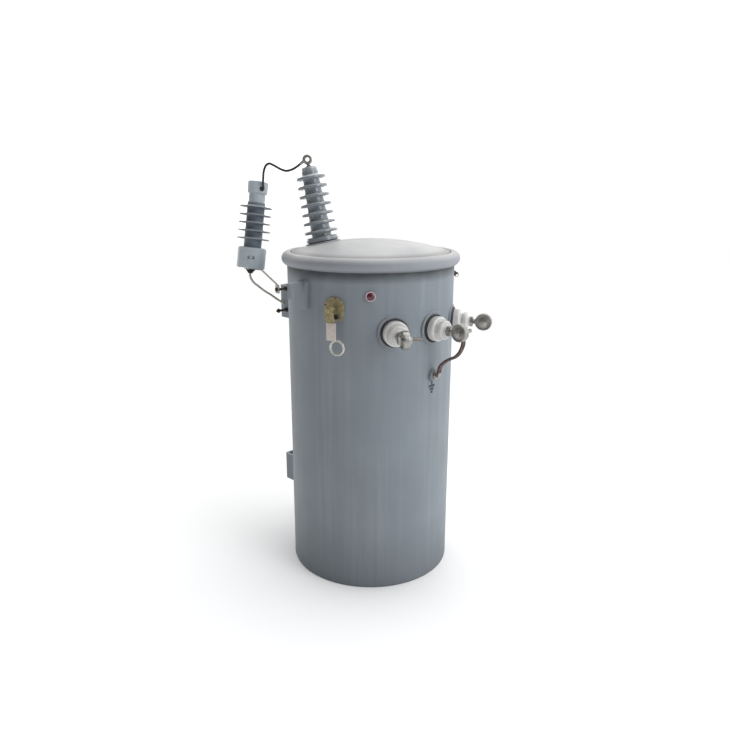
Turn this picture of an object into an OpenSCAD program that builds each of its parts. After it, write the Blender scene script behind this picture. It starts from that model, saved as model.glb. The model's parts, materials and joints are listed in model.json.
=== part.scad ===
// Pole mounted distribution transformer: a round steel tank with a domed clamped cover,
// one cover bushing with its surge arrester, three wall bushings, a breaker handle and two pole hangers.
// Origin: centre of the tank bottom, on the floor. +Z is up, +Y points at the pole.

/* [Tank] */
// Outside diameter of the tank
tank_d = 500; // [460:5:600]
// Height of the tank wall above the floor
tank_h = 954; // [940:2:1150]
// Thickness of the rolled wall
wall_t = 3; // [2:0.5:6]
// Thickness of the bottom plate
bottom_t = 5; // [3:0.5:10]
// Height of the core and coils that stand on the bottom plate
core_h = 600; // [400:10:680]
// Diameter of the core and coils
core_d = 300; // [200:5:380]

/* [Cover] */
// Height of the dome above its edge
dome_rise = 35; // [25:1:50]
// Thickness of the cover sheet
cover_t = 3; // [2:0.5:4]
// Thickness of the gasket under the cover
cover_gasket_t = 6; // [4:0.5:8]
// Rounding radius of the clamp band's section
band_r = 19.5; // [18:0.5:21]
// Thickness of the clamp band
band_t = 3; // [2:0.5:3]
// Azimuth of the band's closing bolt
band_clamp_az = 140; // [110:5:150]

/* [Lifting hooks] */
// Azimuth of the hooks, one on each side
hook_az = 93; // [85:1:100]
// Height of a hook's top
hook_top_z = 914; // [890:2:920]
// Height of a hook's welded plate
hook_plate_h = 78; // [60:2:90]
// Width of a hook's welded plate
hook_plate_w = 40; // [30:2:60]
// Width of the hook's arm and leg
hook_bar_w = 15; // [10:1:24]
// Reach of the hook from the wall
hook_reach = 52; // [40:2:70]
// Height of the hook's hanging leg
hook_leg_h = 47; // [35:1:55]

/* [Pole hangers] */
// Height between the two pole bolts
hanger_spacing = 590.5; // [560:0.5:600]
// Height of the upper pole bolt
upper_bolt_z = 800; // [790:1:815]
// Distance of the pole face from the tank axis
pole_face_y = 345; // [330:5:380]
// Width of a hanger
hanger_w = 164; // [140:2:180]
// Height of the upper hanger
upper_hanger_h = 108; // [90:2:124]
// Height of the lower hanger
lower_hanger_h = 95; // [80:5:120]
// Thickness of the hanger plate
hanger_t = 8; // [5:1:12]
// Width of a pole bolt slot
slot_w = 20.6; // [17:0.2:24]
// Overall length of a pole bolt slot
slot_l = 44; // [30:1:60]
// Diameter of the two side bolts
side_bolt_d = 8; // [8:1:12]
// Height between the two side bolts
side_bolt_spacing = 70; // [60:2:80]

/* [Cover bushing] */
// Distance of the bushing from the tank axis
hv_offset = 150; // [130:2:160]
// Azimuth of the bushing
hv_az = -150; // [-170:5:-130]
// Diameter of the bushing flange
hv_flange_d = 98; // [90:2:110]
// Number of sheds
hv_sheds = 7; // [5:1:8]
// Height from one shed to the next
hv_pitch = 26.6; // [25:0.2:29]
// Diameter of the lowest shed
hv_shed_d_low = 101; // [92:1:110]
// Diameter of the highest shed
hv_shed_d_top = 88; // [80:1:92]
// Diameter of the core between sheds, at the bottom
hv_core_d_low = 60; // [54:1:64]
// Diameter of the core between sheds, at the top
hv_core_d_top = 50; // [46:1:54]
// Diameter of the metal cap
hv_cap_d = 46; // [40:1:50]
// Diameter of the terminal eye
hv_eye_d = 30; // [26:1:36]
// Diameter of the line conductor hole in the eye
hv_hole_d = 12; // [8:0.5:14]

/* [Surge arrester] */
// Lean of the arrester towards the tank
arrester_lean = 9.4; // [0:0.2:12]
// Place of the arrester's lower face, from the tank axis towards -X
arrester_x = 219; // [210:1:240]
// Height of the arrester's lower face
arrester_z = 922; // [910:1:935]
// Diameter of the base
arrester_base_d = 86; // [80:1:92]
// Height of the base
arrester_base_h = 64; // [56:1:70]
// Diameter of the core
arrester_core_d = 54; // [46:1:58]
// Number of sheds
arrester_sheds = 5; // [3:1:5]
// Height from one shed to the next
arrester_pitch = 24; // [20:0.2:25]
// Diameter of a shed
arrester_shed_d = 98; // [90:1:106]
// Diameter of the cap
arrester_cap_d = 63; // [56:1:70]
// Height of the cap
arrester_cap_h = 36; // [30:1:50]

/* [Wall bushings] */
// Azimuth from one wall bushing to the next
lv_az_step = 30; // [26:1:40]
// Height of the wall bushings
lv_z = 783; // [760:1:790]
// Diameter of the large disc
lv_disc_d = 71; // [66:1:84]
// Diameter of the small disc
lv_disc2_d = 54; // [44:1:60]
// Diameter of the terminal stud
lv_stud_d = 16; // [12:1:20]
// Distance of the terminal eye from the wall
lv_eye_reach = 94; // [90:1:115]
// Diameter of the terminal eye
lv_eye_d = 50; // [42:1:54]
// Thickness of the terminal eye
lv_eye_t = 18; // [14:1:22]
// Diameter of the terminal bolt
lv_bolt_d = 12; // [10:1:14]

/* [Breaker handle] */
// Azimuth of the handle
breaker_az = -68; // [-72:1:-62]
// Height of the handle's pivot
breaker_z = 850; // [840:1:860]
// Diameter of the boss
breaker_boss_d = 52; // [48:1:58]
// Distance from the pivot to the centre of the eye
handle_l = 104; // [95:1:115]
// Diameter of the eye, outside
handle_eye_d = 46; // [40:1:50]
// Thickness of the eye's wire
handle_wire_d = 6.5; // [5:0.5:8]
// Diameter of the pivot shaft
shaft_d = 14; // [10:1:18]

/* [Small fittings] */
// Azimuth of the overload signal light
signal_az = -45; // [-50:1:-38]
// Height of the overload signal light
signal_z = 884; // [875:1:895]
// Diameter of the signal bezel
signal_d = 27; // [22:1:32]
// Azimuth of the pressure relief valve
relief_az = 55; // [50:1:60]
// Height of the pressure relief valve
relief_z = 909; // [900:1:912]
// Height of the earthing pad
pad_z = 646; // [630:1:660]
// Width of the earthing strap
strap_w = 16; // [12:1:20]
// Thickness of the earthing strap
strap_t = 7; // [3:0.5:9]

/* [Hidden] */
$fn = 96;
fit = 0.3;      // gap between pieces that seat on each other
cut = 1;        // how far a cutting shape runs past a face
tank_r = tank_d / 2;
paint = [0.53, 0.58, 0.61];
glaze = [0.55, 0.57, 0.59];
polymer = [0.62, 0.66, 0.69];
ivory = [0.82, 0.82, 0.80];
tinned = [0.55, 0.55, 0.54];
rubber = [0.10, 0.10, 0.11];
bronze = [0.55, 0.52, 0.38];

// Cover and band: the flanges meet at the tank rim, the band wraps them
flange_w = 6;                                   // reach of the tank flange past the wall
flange_t = 4;                                   // thickness of the tank flange
rim_r = tank_r + flange_w;                      // outside radius of the flanges
cover_z = tank_h + cover_gasket_t;              // underside of the cover's flange
band_cr = tank_r - 3.5;                         // centre radius of the band's section
band_cz = tank_h + 10;                          // centre height of the band's section
band_top_deg = 112;                             // where the band's section ends above
band_low_deg = -70;                             // where the band's section ends below
band_in_r = band_r - band_t;
neck_r = band_cr + band_r * cos(band_top_deg) - 2.5;   // dome edge, just inside the band's lip
dome_edge_z = band_cz + band_r * sin(band_top_deg);
dome_r = (neck_r * neck_r + dome_rise * dome_rise) / (2 * dome_rise);
dome_cz = dome_edge_z + dome_rise - dome_r;
turn_up_z = band_cz + sqrt(band_in_r * band_in_r - pow(rim_r - band_cr, 2)) - fit;
flange_low_z = band_cz - sqrt(band_in_r * band_in_r - pow(rim_r - band_cr, 2)) + fit;

// Cover bushing, along its own axis from the dome's surface
hv_tilt = asin(hv_offset / dome_r);
hv_pad_h = 2;
hv_pad_d = hv_flange_d + 8;
hv_gasket_t = 3;
hv_flange_t = 14;
hv_low = hv_pad_h + hv_gasket_t + hv_flange_t;
hv_first_shed = 19;                             // height of the lowest shed above the flange
hv_porcelain_h = hv_first_shed + (hv_sheds - 1) * hv_pitch + 15.5;
hv_cap_s = hv_low + hv_porcelain_h;
hv_cap_h = 11;
hv_stem_h = 8;
hv_stem_d = 11;
hv_eye_t = 12;
hv_eye_s = hv_cap_s + hv_cap_h + hv_stem_h + hv_eye_d / 2 - 1;
hv_eye_turn = 105;                              // turn of the eye about the bushing's axis

// Arrester, along its own axis from its lower face
arrester_y = 310;
arrester_neck_h = 27;
arrester_first_shed = 28;                       // height of the lowest shed above the base
arrester_core_h = arrester_first_shed + (arrester_sheds - 1) * arrester_pitch + 12;
arrester_cap_s = arrester_base_h + arrester_core_h + arrester_neck_h;
bracket_t = 4;
disconnector_h = 12;
side_bolt_y = arrester_y;
side_bolt_z = upper_bolt_z + 9;                 // middle of the two side bolts
side_bolt_out = 42;                             // reach of a side bolt past the hanger

// Line lead: its diameter, and its route from the arrester's cap to the terminal's eye
lead_d = 7;
lead_route = [[-186, 280, 1161], [-187, 272, 1164], [-188, 271, 1175], [-187, 270, 1192], [-186, 268, 1210],
    [-181, 264, 1227], [-173, 257, 1234], [-163, 248, 1229], [-150, 235, 1219], [-138, 221, 1213],
    [-126, 207, 1217], [-116, 194, 1226], [-110, 185, 1234], [-106, 179.5, 1239]];

// Arrester's earth lead: its diameter, and its route from the disconnector to the hanger's leg
ground_lead_d = 7;
ground_route = [[-221.7, 310, 905.8], [-222, 310, 897], [-217, 310, 886], [-207, 310, 874], [-194, 310, 864],
    [-168, 312, 845], [-139, 316, 828], [-114, 322, 812], [-94, 326, 801], [-84, 328, 797]];

// Wall bushings, outwards from the wall
lv_az = [-lv_az_step, 0, lv_az_step];
lv_gasket_d = lv_disc_d + 10;
lv_boss_d = lv_gasket_d + 15;
lv_boss_h = 2;
lv_gasket_t = 5;
lv_seat = lv_boss_h + lv_gasket_t;
lv_disc_h = 20;
lv_disc2_s = lv_seat + lv_disc_h + 8;
lv_disc2_h = 13;
lv_nose_s = lv_disc2_s + lv_disc2_h;
lv_nose_h = 6;
lv_nose_d = 32;
lv_bolt_out = 48;                               // end of the bolt, from the eye's middle

// Earthing strap, from under the nut of the middle terminal's bolt to the earthing pad's stud
pad_out = 16;
strap_top = [lv_eye_t / 2 + strap_w / 2 + fit, -tank_r - lv_eye_reach,
    lv_z - lv_bolt_d * 0.9 * cos(30) - fit];
strap_end = [0, -tank_r - pad_out - 9, pad_z + 6 + fit];
// Shares of the way from the strap's end to its top: across, and up
strap_bend = [[1, 1], [1, 0.9], [0.98, 0.76], [0.87, 0.6], [0.7, 0.48], [0.48, 0.41], [0.27, 0.33],
    [0.1, 0.23], [0.02, 0.12], [0, 0]];

// Breaker, outwards from the wall
boss_h = 24;
boss_flange_d = breaker_boss_d + 7;
boss_flange_h = 5;
shaft_clear = 0.05;
hub_d = 22;
hub_low = boss_h + 2.5;
hub_h = 12;
shaft_head_h = 4;
lever_low = boss_h + 6;
lever_t = 4;
tab_w = 28;
tab_x = 6;
tab_top = -40;
tab_low = -84;
tab_t = 3;
eye_x = 21;
button_x = 11;
button_y = -22;
button_d = 15;

// Places children on the wall: local +Z is outwards, +Y is up, +X is towards greater azimuth
module on_wall(az, z, r = tank_r) {
    rotate([0, 0, az]) translate([0, -r, z]) rotate([90, 0, 0]) children();
}

// Takes the space inside the wall's outer face away from its children
module outside_tank() {
    difference() {
        children();
        translate([0, 0, cut]) cylinder(r = tank_r, h = tank_h - 2 * cut, $fn = 180);
    }
}

// Places children on the cover bushing's axis, local +Z along it from the dome's surface
module on_hv_axis() {
    rotate([0, 0, hv_az]) translate([0, 0, dome_cz]) rotate([hv_tilt, 0, 0])
        translate([0, 0, dome_r]) children();
}

// Places children on the arrester's axis, local +Z along it from its lower face
module on_arrester_axis() {
    translate([-arrester_x, arrester_y, arrester_z]) rotate([0, arrester_lean, 0]) children();
}

// Points on an arc about (cx, cy), from angle a to angle b in n steps
function arc(cx, cy, r, a, b, n) =
    [for (i = [0 : n]) let (t = a + (b - a) * i / n) [cx + r * cos(t), cy + r * sin(t)]];

function unit(v) = v / norm(v);
function lerp(a, b, t) = a + (b - a) * t;

// One point of a smooth curve through p, at place t between points i and i + 1
function spline(p, i, t) =
    let (a = p[max(i - 1, 0)], b = p[i], c = p[i + 1], d = p[min(i + 2, len(p) - 1)])
    0.5 * (2 * b + (c - a) * t + (2 * a - 5 * b + 4 * c - d) * t * t + (3 * b - a - 3 * c + d) * t * t * t);

// A smooth curve through p with n steps between neighbours
function smooth_path(p, n) = concat(
    [for (i = [0 : len(p) - 2], j = [0 : n - 1]) spline(p, i, j / n)], [p[len(p) - 1]]);

// Sweeps a section along a path; side is a direction that the path never runs along
module sweep(path, section, side) {
    m = len(section);
    n = len(path);
    points = [for (i = [0 : n - 1])
        let (t = unit(path[min(i + 1, n - 1)] - path[max(i - 1, 0)]),
             u = unit(cross(t, cross(side, t))), v = cross(t, u))
        for (q = section) path[i] + q[0] * u + q[1] * v];
    sides = [for (i = [0 : n - 2], j = [0 : m - 1]) let (k = (j + 1) % m)
        [i * m + j, (i + 1) * m + j, (i + 1) * m + k, i * m + k]];
    ends = [[for (j = [0 : m - 1]) j], [for (j = [m - 1 : -1 : 0]) (n - 1) * m + j]];
    polyhedron(points, concat(sides, ends), convexity = 6);
}

function round_section(d, m) = [for (j = [0 : m - 1]) d / 2 * [cos(360 * j / m), sin(360 * j / m)]];

// ---- tank and cover ----

module tank_wall() {
    color(paint) {
        difference() {
            union() {
                cylinder(r = tank_r, h = tank_h, $fn = 180);
                translate([0, 0, flange_low_z]) cylinder(r = rim_r, h = tank_h - flange_low_z, $fn = 180);
                for (az = lv_az) on_wall(az, lv_z) translate([0, 0, -lv_boss_d / 6])
                    cylinder(d = lv_boss_d, h = lv_boss_d / 6 + lv_boss_h);
            }
            translate([0, 0, -cut]) cylinder(r = tank_r - wall_t, h = tank_h + 2 * cut, $fn = 180);
        }
    }
}

module tank_bottom() {
    color(paint) cylinder(r = tank_r - wall_t - 0.1, h = bottom_t, $fn = 180);
}

module core_and_coils() {
    color([0.35, 0.28, 0.22]) translate([0, 0, bottom_t]) cylinder(d = core_d, h = core_h);
}

module cover_gasket() {
    color(rubber) translate([0, 0, tank_h]) difference() {
        cylinder(r = rim_r - 1, h = cover_gasket_t, $fn = 180);
        translate([0, 0, -cut]) cylinder(r = tank_r - wall_t, h = cover_gasket_t + 2 * cut, $fn = 180);
    }
}

module cover() {
    edge_deg = asin(neck_r / dome_r);
    outside = arc(0, dome_cz, dome_r, 90, 90 - edge_deg, 24);
    inside = arc(0, dome_cz, dome_r - cover_t, 90 - edge_deg * (neck_r - cover_t) / neck_r, 90, 24);
    color(paint) union() {
        rotate_extrude($fn = 180) polygon(concat(outside,
            [[neck_r, cover_z + cover_t], [rim_r - cover_t, cover_z + cover_t],
             [rim_r - cover_t, turn_up_z], [rim_r, turn_up_z], [rim_r, cover_z],
             [neck_r - cover_t, cover_z]], inside));
        on_hv_axis() translate([0, 0, -cover_t + 0.5]) cylinder(d = hv_pad_d, h = cover_t - 0.5 + hv_pad_h);
    }
}

module cover_band() {
    color(paint) rotate_extrude($fn = 180) polygon(concat(
        arc(band_cr, band_cz, band_r, band_top_deg, band_low_deg, 22),
        arc(band_cr, band_cz, band_in_r, band_low_deg, band_top_deg, 22)));
}

// The band's ends: two ears and the bolt that draws them together
module band_clamp() {
    ear_t = 5;
    ear_gap = 12;
    ear = 28;
    ear_z = band_cz + 2;
    ear_r = band_cr + band_r - 4;
    color(paint) rotate([0, 0, band_clamp_az]) {
        difference() {
            union() {
                for (s = [-1, 1]) translate([s * (ear_gap + ear_t) / 2, -ear_r - ear / 2, ear_z])
                    cube([ear_t, ear, 24], center = true);
                translate([0, -ear_r - ear * 0.6, ear_z]) rotate([0, 90, 0]) {
                    cylinder(d = 9, h = 62, center = true);
                    for (s = [-1, 1]) translate([0, 0, s * 20])
                        cylinder(d = 17, h = 8, center = true, $fn = 6);
                }
            }
            translate([0, 0, band_cz - 40]) cylinder(r = band_cr + band_r + fit, h = 80, $fn = 180);
        }
    }
}

// A welded plate with an arm and a hanging leg that holds a sling
module lifting_hook(az) {
    plate_t = 9;
    arm_t = 11;
    leg_t = 8;
    color(paint) outside_tank() on_wall(az, hook_top_z) {
        translate([-hook_plate_w / 2, -hook_plate_h, -plate_t / 2])
            cube([hook_plate_w, hook_plate_h, plate_t * 1.5]);
        translate([-hook_bar_w / 2, -arm_t, 0]) cube([hook_bar_w, arm_t, hook_reach]);
        translate([-hook_bar_w / 2, -hook_leg_h, hook_reach - leg_t]) cube([hook_bar_w, hook_leg_h, leg_t]);
    }
}

// ---- pole hangers ----

// A channel with its web to the pole and its legs welded to the tank, slotted for the pole bolt
module hanger(z, h) {
    color(paint) difference() {
        translate([-hanger_w / 2, 0, z - h / 2]) cube([hanger_w, pole_face_y, h]);
        translate([-hanger_w / 2 + hanger_t, -cut, z - h / 2 - cut])
            cube([hanger_w - 2 * hanger_t, pole_face_y - hanger_t + cut, h + 2 * cut]);
        translate([0, 0, z - h]) cylinder(r = tank_r, h = 2 * h, $fn = 180);
        translate([0, 0, z]) rotate([90, 0, 0]) for (s = [-1, 1])
            translate([0, s * (slot_l - slot_w) / 2, -pole_face_y - cut])
                cylinder(d = slot_w, h = hanger_t + 2 * cut);
        translate([-slot_w / 2, pole_face_y - hanger_t - cut, z - (slot_l - slot_w) / 2])
            cube([slot_w, hanger_t + 2 * cut, slot_l - slot_w]);
    }
}

module upper_hanger() {
    hanger(upper_bolt_z, upper_hanger_h);
}

module lower_hanger() {
    hanger(upper_bolt_z - hanger_spacing, lower_hanger_h);
}

// Two threaded bolts with nuts, through the hanger's left leg
module side_bolts() {
    color([0.22, 0.22, 0.22]) for (s = [-1, 1])
        translate([-hanger_w / 2, side_bolt_y, side_bolt_z + s * side_bolt_spacing / 2]) rotate([0, -90, 0]) {
            cylinder(d = side_bolt_d, h = side_bolt_out);
            cylinder(d = side_bolt_d * 1.9, h = side_bolt_d * 0.7, $fn = 6);
        }
}

// ---- cover bushing ----

module hv_gasket() {
    color(rubber) on_hv_axis() translate([0, 0, hv_pad_h]) cylinder(d = hv_flange_d - 8, h = hv_gasket_t);
}

module hv_flange() {
    color(glaze) on_hv_axis() translate([0, 0, hv_pad_h + hv_gasket_t]) {
        cylinder(d = hv_flange_d, h = hv_flange_t * 0.6);
        cylinder(d = hv_flange_d - 6, h = hv_flange_t);
    }
}

// Half outline of shed i of n: out along its underside, round its rim and back along its top
function shed(i, n, first, pitch, core_a, core_b, shed_a, shed_b, lip) =
    let (t = i / (n - 1), c = lerp(core_a, core_b, t) / 2, r = lerp(shed_a, shed_b, t) / 2,
         s = first + pitch * i)
    [[c, s - lip], [r - lip / 2, s - lip], [r - lip * 0.15, s - lip * 0.85], [r, s - lip / 2],
     [r - lip * 0.15, s - lip * 0.15], [r - lip / 2, s], [c + 3, s + 1], [c, s + 4]];

// Solid of revolution from height low to height top, with n sheds from height first upwards
module shed_body(n, low, first, top, pitch, core_a, core_b, shed_a, shed_b, lip) {
    rotate_extrude() polygon(concat([[0, low], [core_a / 2, low]],
        [for (i = [0 : n - 1]) each shed(i, n, first, pitch, core_a, core_b, shed_a, shed_b, lip)],
        [[core_b / 2, top], [0, top]]));
}

module hv_bushing() {
    color(glaze) on_hv_axis() shed_body(hv_sheds, hv_low, hv_low + hv_first_shed, hv_cap_s, hv_pitch,
        hv_core_d_low, hv_core_d_top, hv_shed_d_low, hv_shed_d_top, 9);
}

module hv_cap() {
    color(tinned) on_hv_axis() translate([0, 0, hv_cap_s]) {
        cylinder(d = hv_cap_d, h = hv_cap_h * 0.75);
        cylinder(d = hv_cap_d - 6, h = hv_cap_h);
    }
}

// Stem with an eye, and the line conductor's hole through the eye
module hv_terminal() {
    color(tinned) on_hv_axis() rotate([0, 0, hv_eye_turn]) difference() {
        union() {
            translate([0, 0, hv_cap_s + hv_cap_h]) cylinder(d = hv_stem_d, h = hv_stem_h);
            translate([0, 0, hv_eye_s]) rotate([90, 0, 0])
                cylinder(d = hv_eye_d, h = hv_eye_t, center = true);
        }
        translate([0, 0, hv_eye_s]) rotate([90, 0, 0])
            cylinder(d = hv_hole_d, h = hv_eye_t + 2 * cut, center = true);
    }
}

module hv_lead() {
    color([0.10, 0.10, 0.10]) sweep(smooth_path(lead_route, 2), round_section(lead_d, 10), unit([1, 1, 0]));
}

// ---- surge arrester ----

module arrester_cap() {
    color(polymer) on_arrester_axis() {
        translate([0, 0, arrester_cap_s - arrester_neck_h])
            cylinder(d = arrester_cap_d - 13, h = arrester_neck_h);
        translate([0, 0, arrester_cap_s])
            cylinder(d1 = arrester_cap_d - 3, d2 = arrester_cap_d, h = arrester_cap_h);
    }
}

module arrester_housing() {
    color(polymer) on_arrester_axis() shed_body(arrester_sheds, arrester_base_h,
        arrester_base_h + arrester_first_shed, arrester_base_h + arrester_core_h, arrester_pitch,
        arrester_core_d, arrester_core_d, arrester_shed_d, arrester_shed_d, 3.4);
}

module arrester_base() {
    r = arrester_base_d / 2;
    edge = 8;
    color(polymer) on_arrester_axis() rotate_extrude() polygon(concat([[0, 0], [r - 2, 0]],
        [[r, 2]], arc(r - edge, arrester_base_h - edge, edge, 0, 90, 6), [[0, arrester_base_h]]));
}

module arrester_disconnector() {
    color(rubber) on_arrester_axis() translate([0, 0, -bracket_t - disconnector_h])
        cylinder(d1 = 12, d2 = 30, h = disconnector_h);
}

// Outline of a bar of thickness t along the points p, on the right of its run, with mitred bends
function bar_outline(p, t) =
    let (n = len(p), way = [for (i = [0 : n - 2]) unit(p[i + 1] - p[i])],
         side = [for (w = way) [w[1], -w[0]]],
         off = [for (i = [0 : n - 1]) let (a = side[max(i - 1, 0)], b = side[min(i, n - 2)])
             p[i] + (a + b) * t / (1 + a * b)])
    concat(p, [for (i = [n - 1 : -1 : 0]) off[i]]);

// Bar with a flat pad under the arrester and a flat upright end on the upper side bolt
module arrester_bracket() {
    pad_w = 18;
    bar_w = 8;
    seat = [cos(arrester_lean), -sin(arrester_lean)];
    under = [-arrester_x, arrester_z];
    end_x = -hanger_w / 2 - side_bolt_out + 8;
    bolt_z = side_bolt_z + side_bolt_spacing / 2;
    run = [under - 18 * seat, under + 42 * seat, [end_x, bolt_z + 16], [end_x, bolt_z - 12]];
    narrow = [run[1][0] + 3, run[2][0] - bracket_t - 3];      // where the bar is narrow, in X
    color([0.75, 0.73, 0.68]) difference() {
        translate([0, side_bolt_y + pad_w / 2, 0]) rotate([90, 0, 0]) linear_extrude(pad_w)
            polygon(bar_outline(run, bracket_t));
        for (s = [-1, 1])
            translate([narrow[0], side_bolt_y + s * (bar_w + pad_w) / 2 - pad_w / 2, bolt_z - 60])
                cube([narrow[1] - narrow[0], pad_w, 150]);
        translate([end_x - 2 * bracket_t, side_bolt_y, bolt_z]) rotate([0, 90, 0])
            cylinder(d = side_bolt_d + 0.5, h = 4 * bracket_t);
    }
}

module arrester_ground_lead() {
    color([0.75, 0.72, 0.62])
        sweep(smooth_path(ground_route, 2), round_section(ground_lead_d, 10), [0, 1, 0]);
}

// ---- breaker handle ----

// A round boss with a lobe at one side for the button
module boss_outline(d, rim) {
    hull() {
        circle(d = d);
        translate([button_x, button_y]) circle(d = button_d + rim);
    }
}

module breaker_boss() {
    color(bronze) outside_tank() on_wall(breaker_az, breaker_z) difference() {
        union() {
            translate([0, 0, -10]) linear_extrude(10 + boss_flange_h) boss_outline(boss_flange_d, 14);
            linear_extrude(boss_h - 4) boss_outline(breaker_boss_d, 7);
            cylinder(d = breaker_boss_d - 8, h = boss_h);
        }
        translate([button_x, button_y, boss_h - 12]) cylinder(d = button_d + 1, h = 12 + cut);
        translate([0, 0, boss_h - 10]) cylinder(d = shaft_d, h = 10 + cut);
    }
}

module breaker_button() {
    color(rubber) on_wall(breaker_az, breaker_z) translate([button_x, button_y, boss_h - 12])
        cylinder(d = button_d, h = 6);
}

module breaker_shaft() {
    color(tinned) on_wall(breaker_az, breaker_z) {
        translate([0, 0, boss_h - 10]) cylinder(d = shaft_d, h = 10 + 2.5 + hub_h + 1);
        translate([0, 0, hub_low + hub_h + 0.5]) cylinder(d = shaft_d + 4, h = shaft_head_h);
    }
}

// Hub with the lever that hangs from it
module handle_lever() {
    color(bronze) on_wall(breaker_az, breaker_z) difference() {
        union() {
            translate([0, 0, hub_low]) cylinder(d = hub_d, h = hub_h);
            translate([0, 0, lever_low]) linear_extrude(lever_t)
                polygon([[-hub_d / 2 - 4, 3], [2, hub_d / 2 - 5], [hub_d / 2, -10], [tab_x + 10, tab_top],
                    [tab_x + 10, tab_top - 6], [tab_x - 12, tab_top - 6], [-hub_d / 2 - 5, -12]]);
        }
        translate([0, 0, hub_low - cut]) cylinder(d = shaft_d + 2 * shaft_clear, h = hub_h + 2 * cut);
    }
}

module handle_tab() {
    color([0.74, 0.71, 0.69]) on_wall(breaker_az, breaker_z)
        translate([tab_x - tab_w / 2, tab_low, lever_low + lever_t])
            cube([tab_w, tab_top - tab_low + 4, tab_t]);
}

// Wire eye for a hook stick, on a short rod
module handle_eye() {
    ring_r = (handle_eye_d - handle_wire_d) / 2;
    rod_d = handle_wire_d - 0.5;
    rod_z = lever_low + lever_t - handle_wire_d / 2 - 0.2;
    rod_x = eye_x - 6;
    rod_y = -handle_l + sqrt(ring_r * ring_r - 36);
    color(tinned) on_wall(breaker_az, breaker_z) {
        translate([eye_x, -handle_l, rod_z]) rotate_extrude()
            translate([ring_r, 0]) circle(d = handle_wire_d, $fn = 32);
        translate([rod_x, rod_y, rod_z]) rotate([-90, 0, 0])
            cylinder(d = rod_d, h = tab_low + 24 - rod_y, $fn = 32);
    }
}

// ---- small fittings ----

module signal_bezel() {
    color([0.72, 0.66, 0.68]) outside_tank() on_wall(signal_az, signal_z) difference() {
        translate([0, 0, -3]) cylinder(d = signal_d, h = 3 + 6);
        translate([0, 0, 1]) cylinder(d = signal_d - 6, h = 10);
    }
}

module signal_lens() {
    color([0.35, 0.08, 0.14]) on_wall(signal_az, signal_z) translate([0, 0, 1]) intersection() {
        cylinder(d = signal_d - 7, h = 14);
        translate([0, 0, -4]) sphere(d = signal_d - 1);
    }
}

module relief_valve() {
    color(bronze) outside_tank() on_wall(relief_az, relief_z) {
        translate([0, 0, -3]) cylinder(d = 24, h = 8, $fn = 6);
        cylinder(d = 17, h = 16);
        cylinder(d = 8, h = 24);
    }
}

module earthing_pad() {
    color(paint) outside_tank() on_wall(0, pad_z) {
        translate([0, 0, -3]) cylinder(d = 34, h = 3 + pad_out - 6);
        cylinder(d = 12, h = pad_out + 8);
    }
}

module earthing_strap() {
    route = [for (b = strap_bend)
        [lerp(strap_end[0], strap_top[0], b[0]), lerp(strap_end[1], strap_top[1], b[0]),
         lerp(strap_end[2], strap_top[2], b[1])]];
    color([0.16, 0.10, 0.10]) sweep(smooth_path(route, 2),
        [[strap_w / 2, -strap_t / 2], [strap_w / 2, strap_t / 2], [-strap_w / 2, strap_t / 2],
         [-strap_w / 2, -strap_t / 2]], [1, 0, 0]);
}

// ---- wall bushings ----

module lv_gaskets() {
    color(rubber) for (az = lv_az) on_wall(az, lv_z) translate([0, 0, lv_boss_h])
        cylinder(d = lv_gasket_d, h = lv_gasket_t);
}

// Stepped insulator: a large disc, a neck, a small disc and a nose
module lv_bushing(az) {
    r = lv_disc_d / 2;
    r2 = lv_disc2_d / 2;
    color(ivory) on_wall(az, lv_z) rotate_extrude() polygon(concat([[0, lv_seat], [r, lv_seat]],
        arc(r - 7, lv_seat + lv_disc_h - 7, 7, 0, 90, 6),
        [[r2 - 4, lv_seat + lv_disc_h], [r2 - 4, lv_disc2_s], [r2, lv_disc2_s]],
        arc(r2 - 5, lv_nose_s - 5, 5, 0, 90, 5),
        [[lv_nose_d / 2, lv_nose_s], [lv_nose_d / 2, lv_nose_s + lv_nose_h], [0, lv_nose_s + lv_nose_h]]));
}

// Stud and eye; the eye's hole runs sideways and takes the terminal bolt
module lv_terminal(az) {
    nose = lv_nose_s + lv_nose_h;
    color(tinned) on_wall(az, lv_z) difference() {
        union() {
            translate([0, 0, nose]) cylinder(d = lv_stud_d, h = lv_eye_reach - nose);
            translate([0, 0, lv_eye_reach]) rotate([0, 90, 0])
                cylinder(d = lv_eye_d, h = lv_eye_t, center = true);
        }
        translate([0, 0, lv_eye_reach]) rotate([0, 90, 0])
            cylinder(d = lv_bolt_d + 1, h = lv_eye_t + 2 * cut, center = true);
    }
}

// Bolt with its head and washer on one side of the eye and its nut and free end on the other
module lv_bolt(az) {
    head_h = 8;
    washer_t = 2.5;
    start = -lv_eye_t / 2 - washer_t - head_h;
    color(tinned) on_wall(az, lv_z) translate([0, 0, lv_eye_reach]) rotate([0, 90, 0]) {
        translate([0, 0, start]) cylinder(d = lv_bolt_d, h = lv_bolt_out - start);
        translate([0, 0, start]) cylinder(d = lv_bolt_d * 1.8, h = head_h, $fn = 6);
        translate([0, 0, -lv_eye_t / 2 - washer_t]) cylinder(d = lv_bolt_d * 2.2, h = washer_t);
        translate([0, 0, lv_eye_t / 2]) cylinder(d = lv_bolt_d * 1.8, h = head_h, $fn = 6);
    }
}

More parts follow.
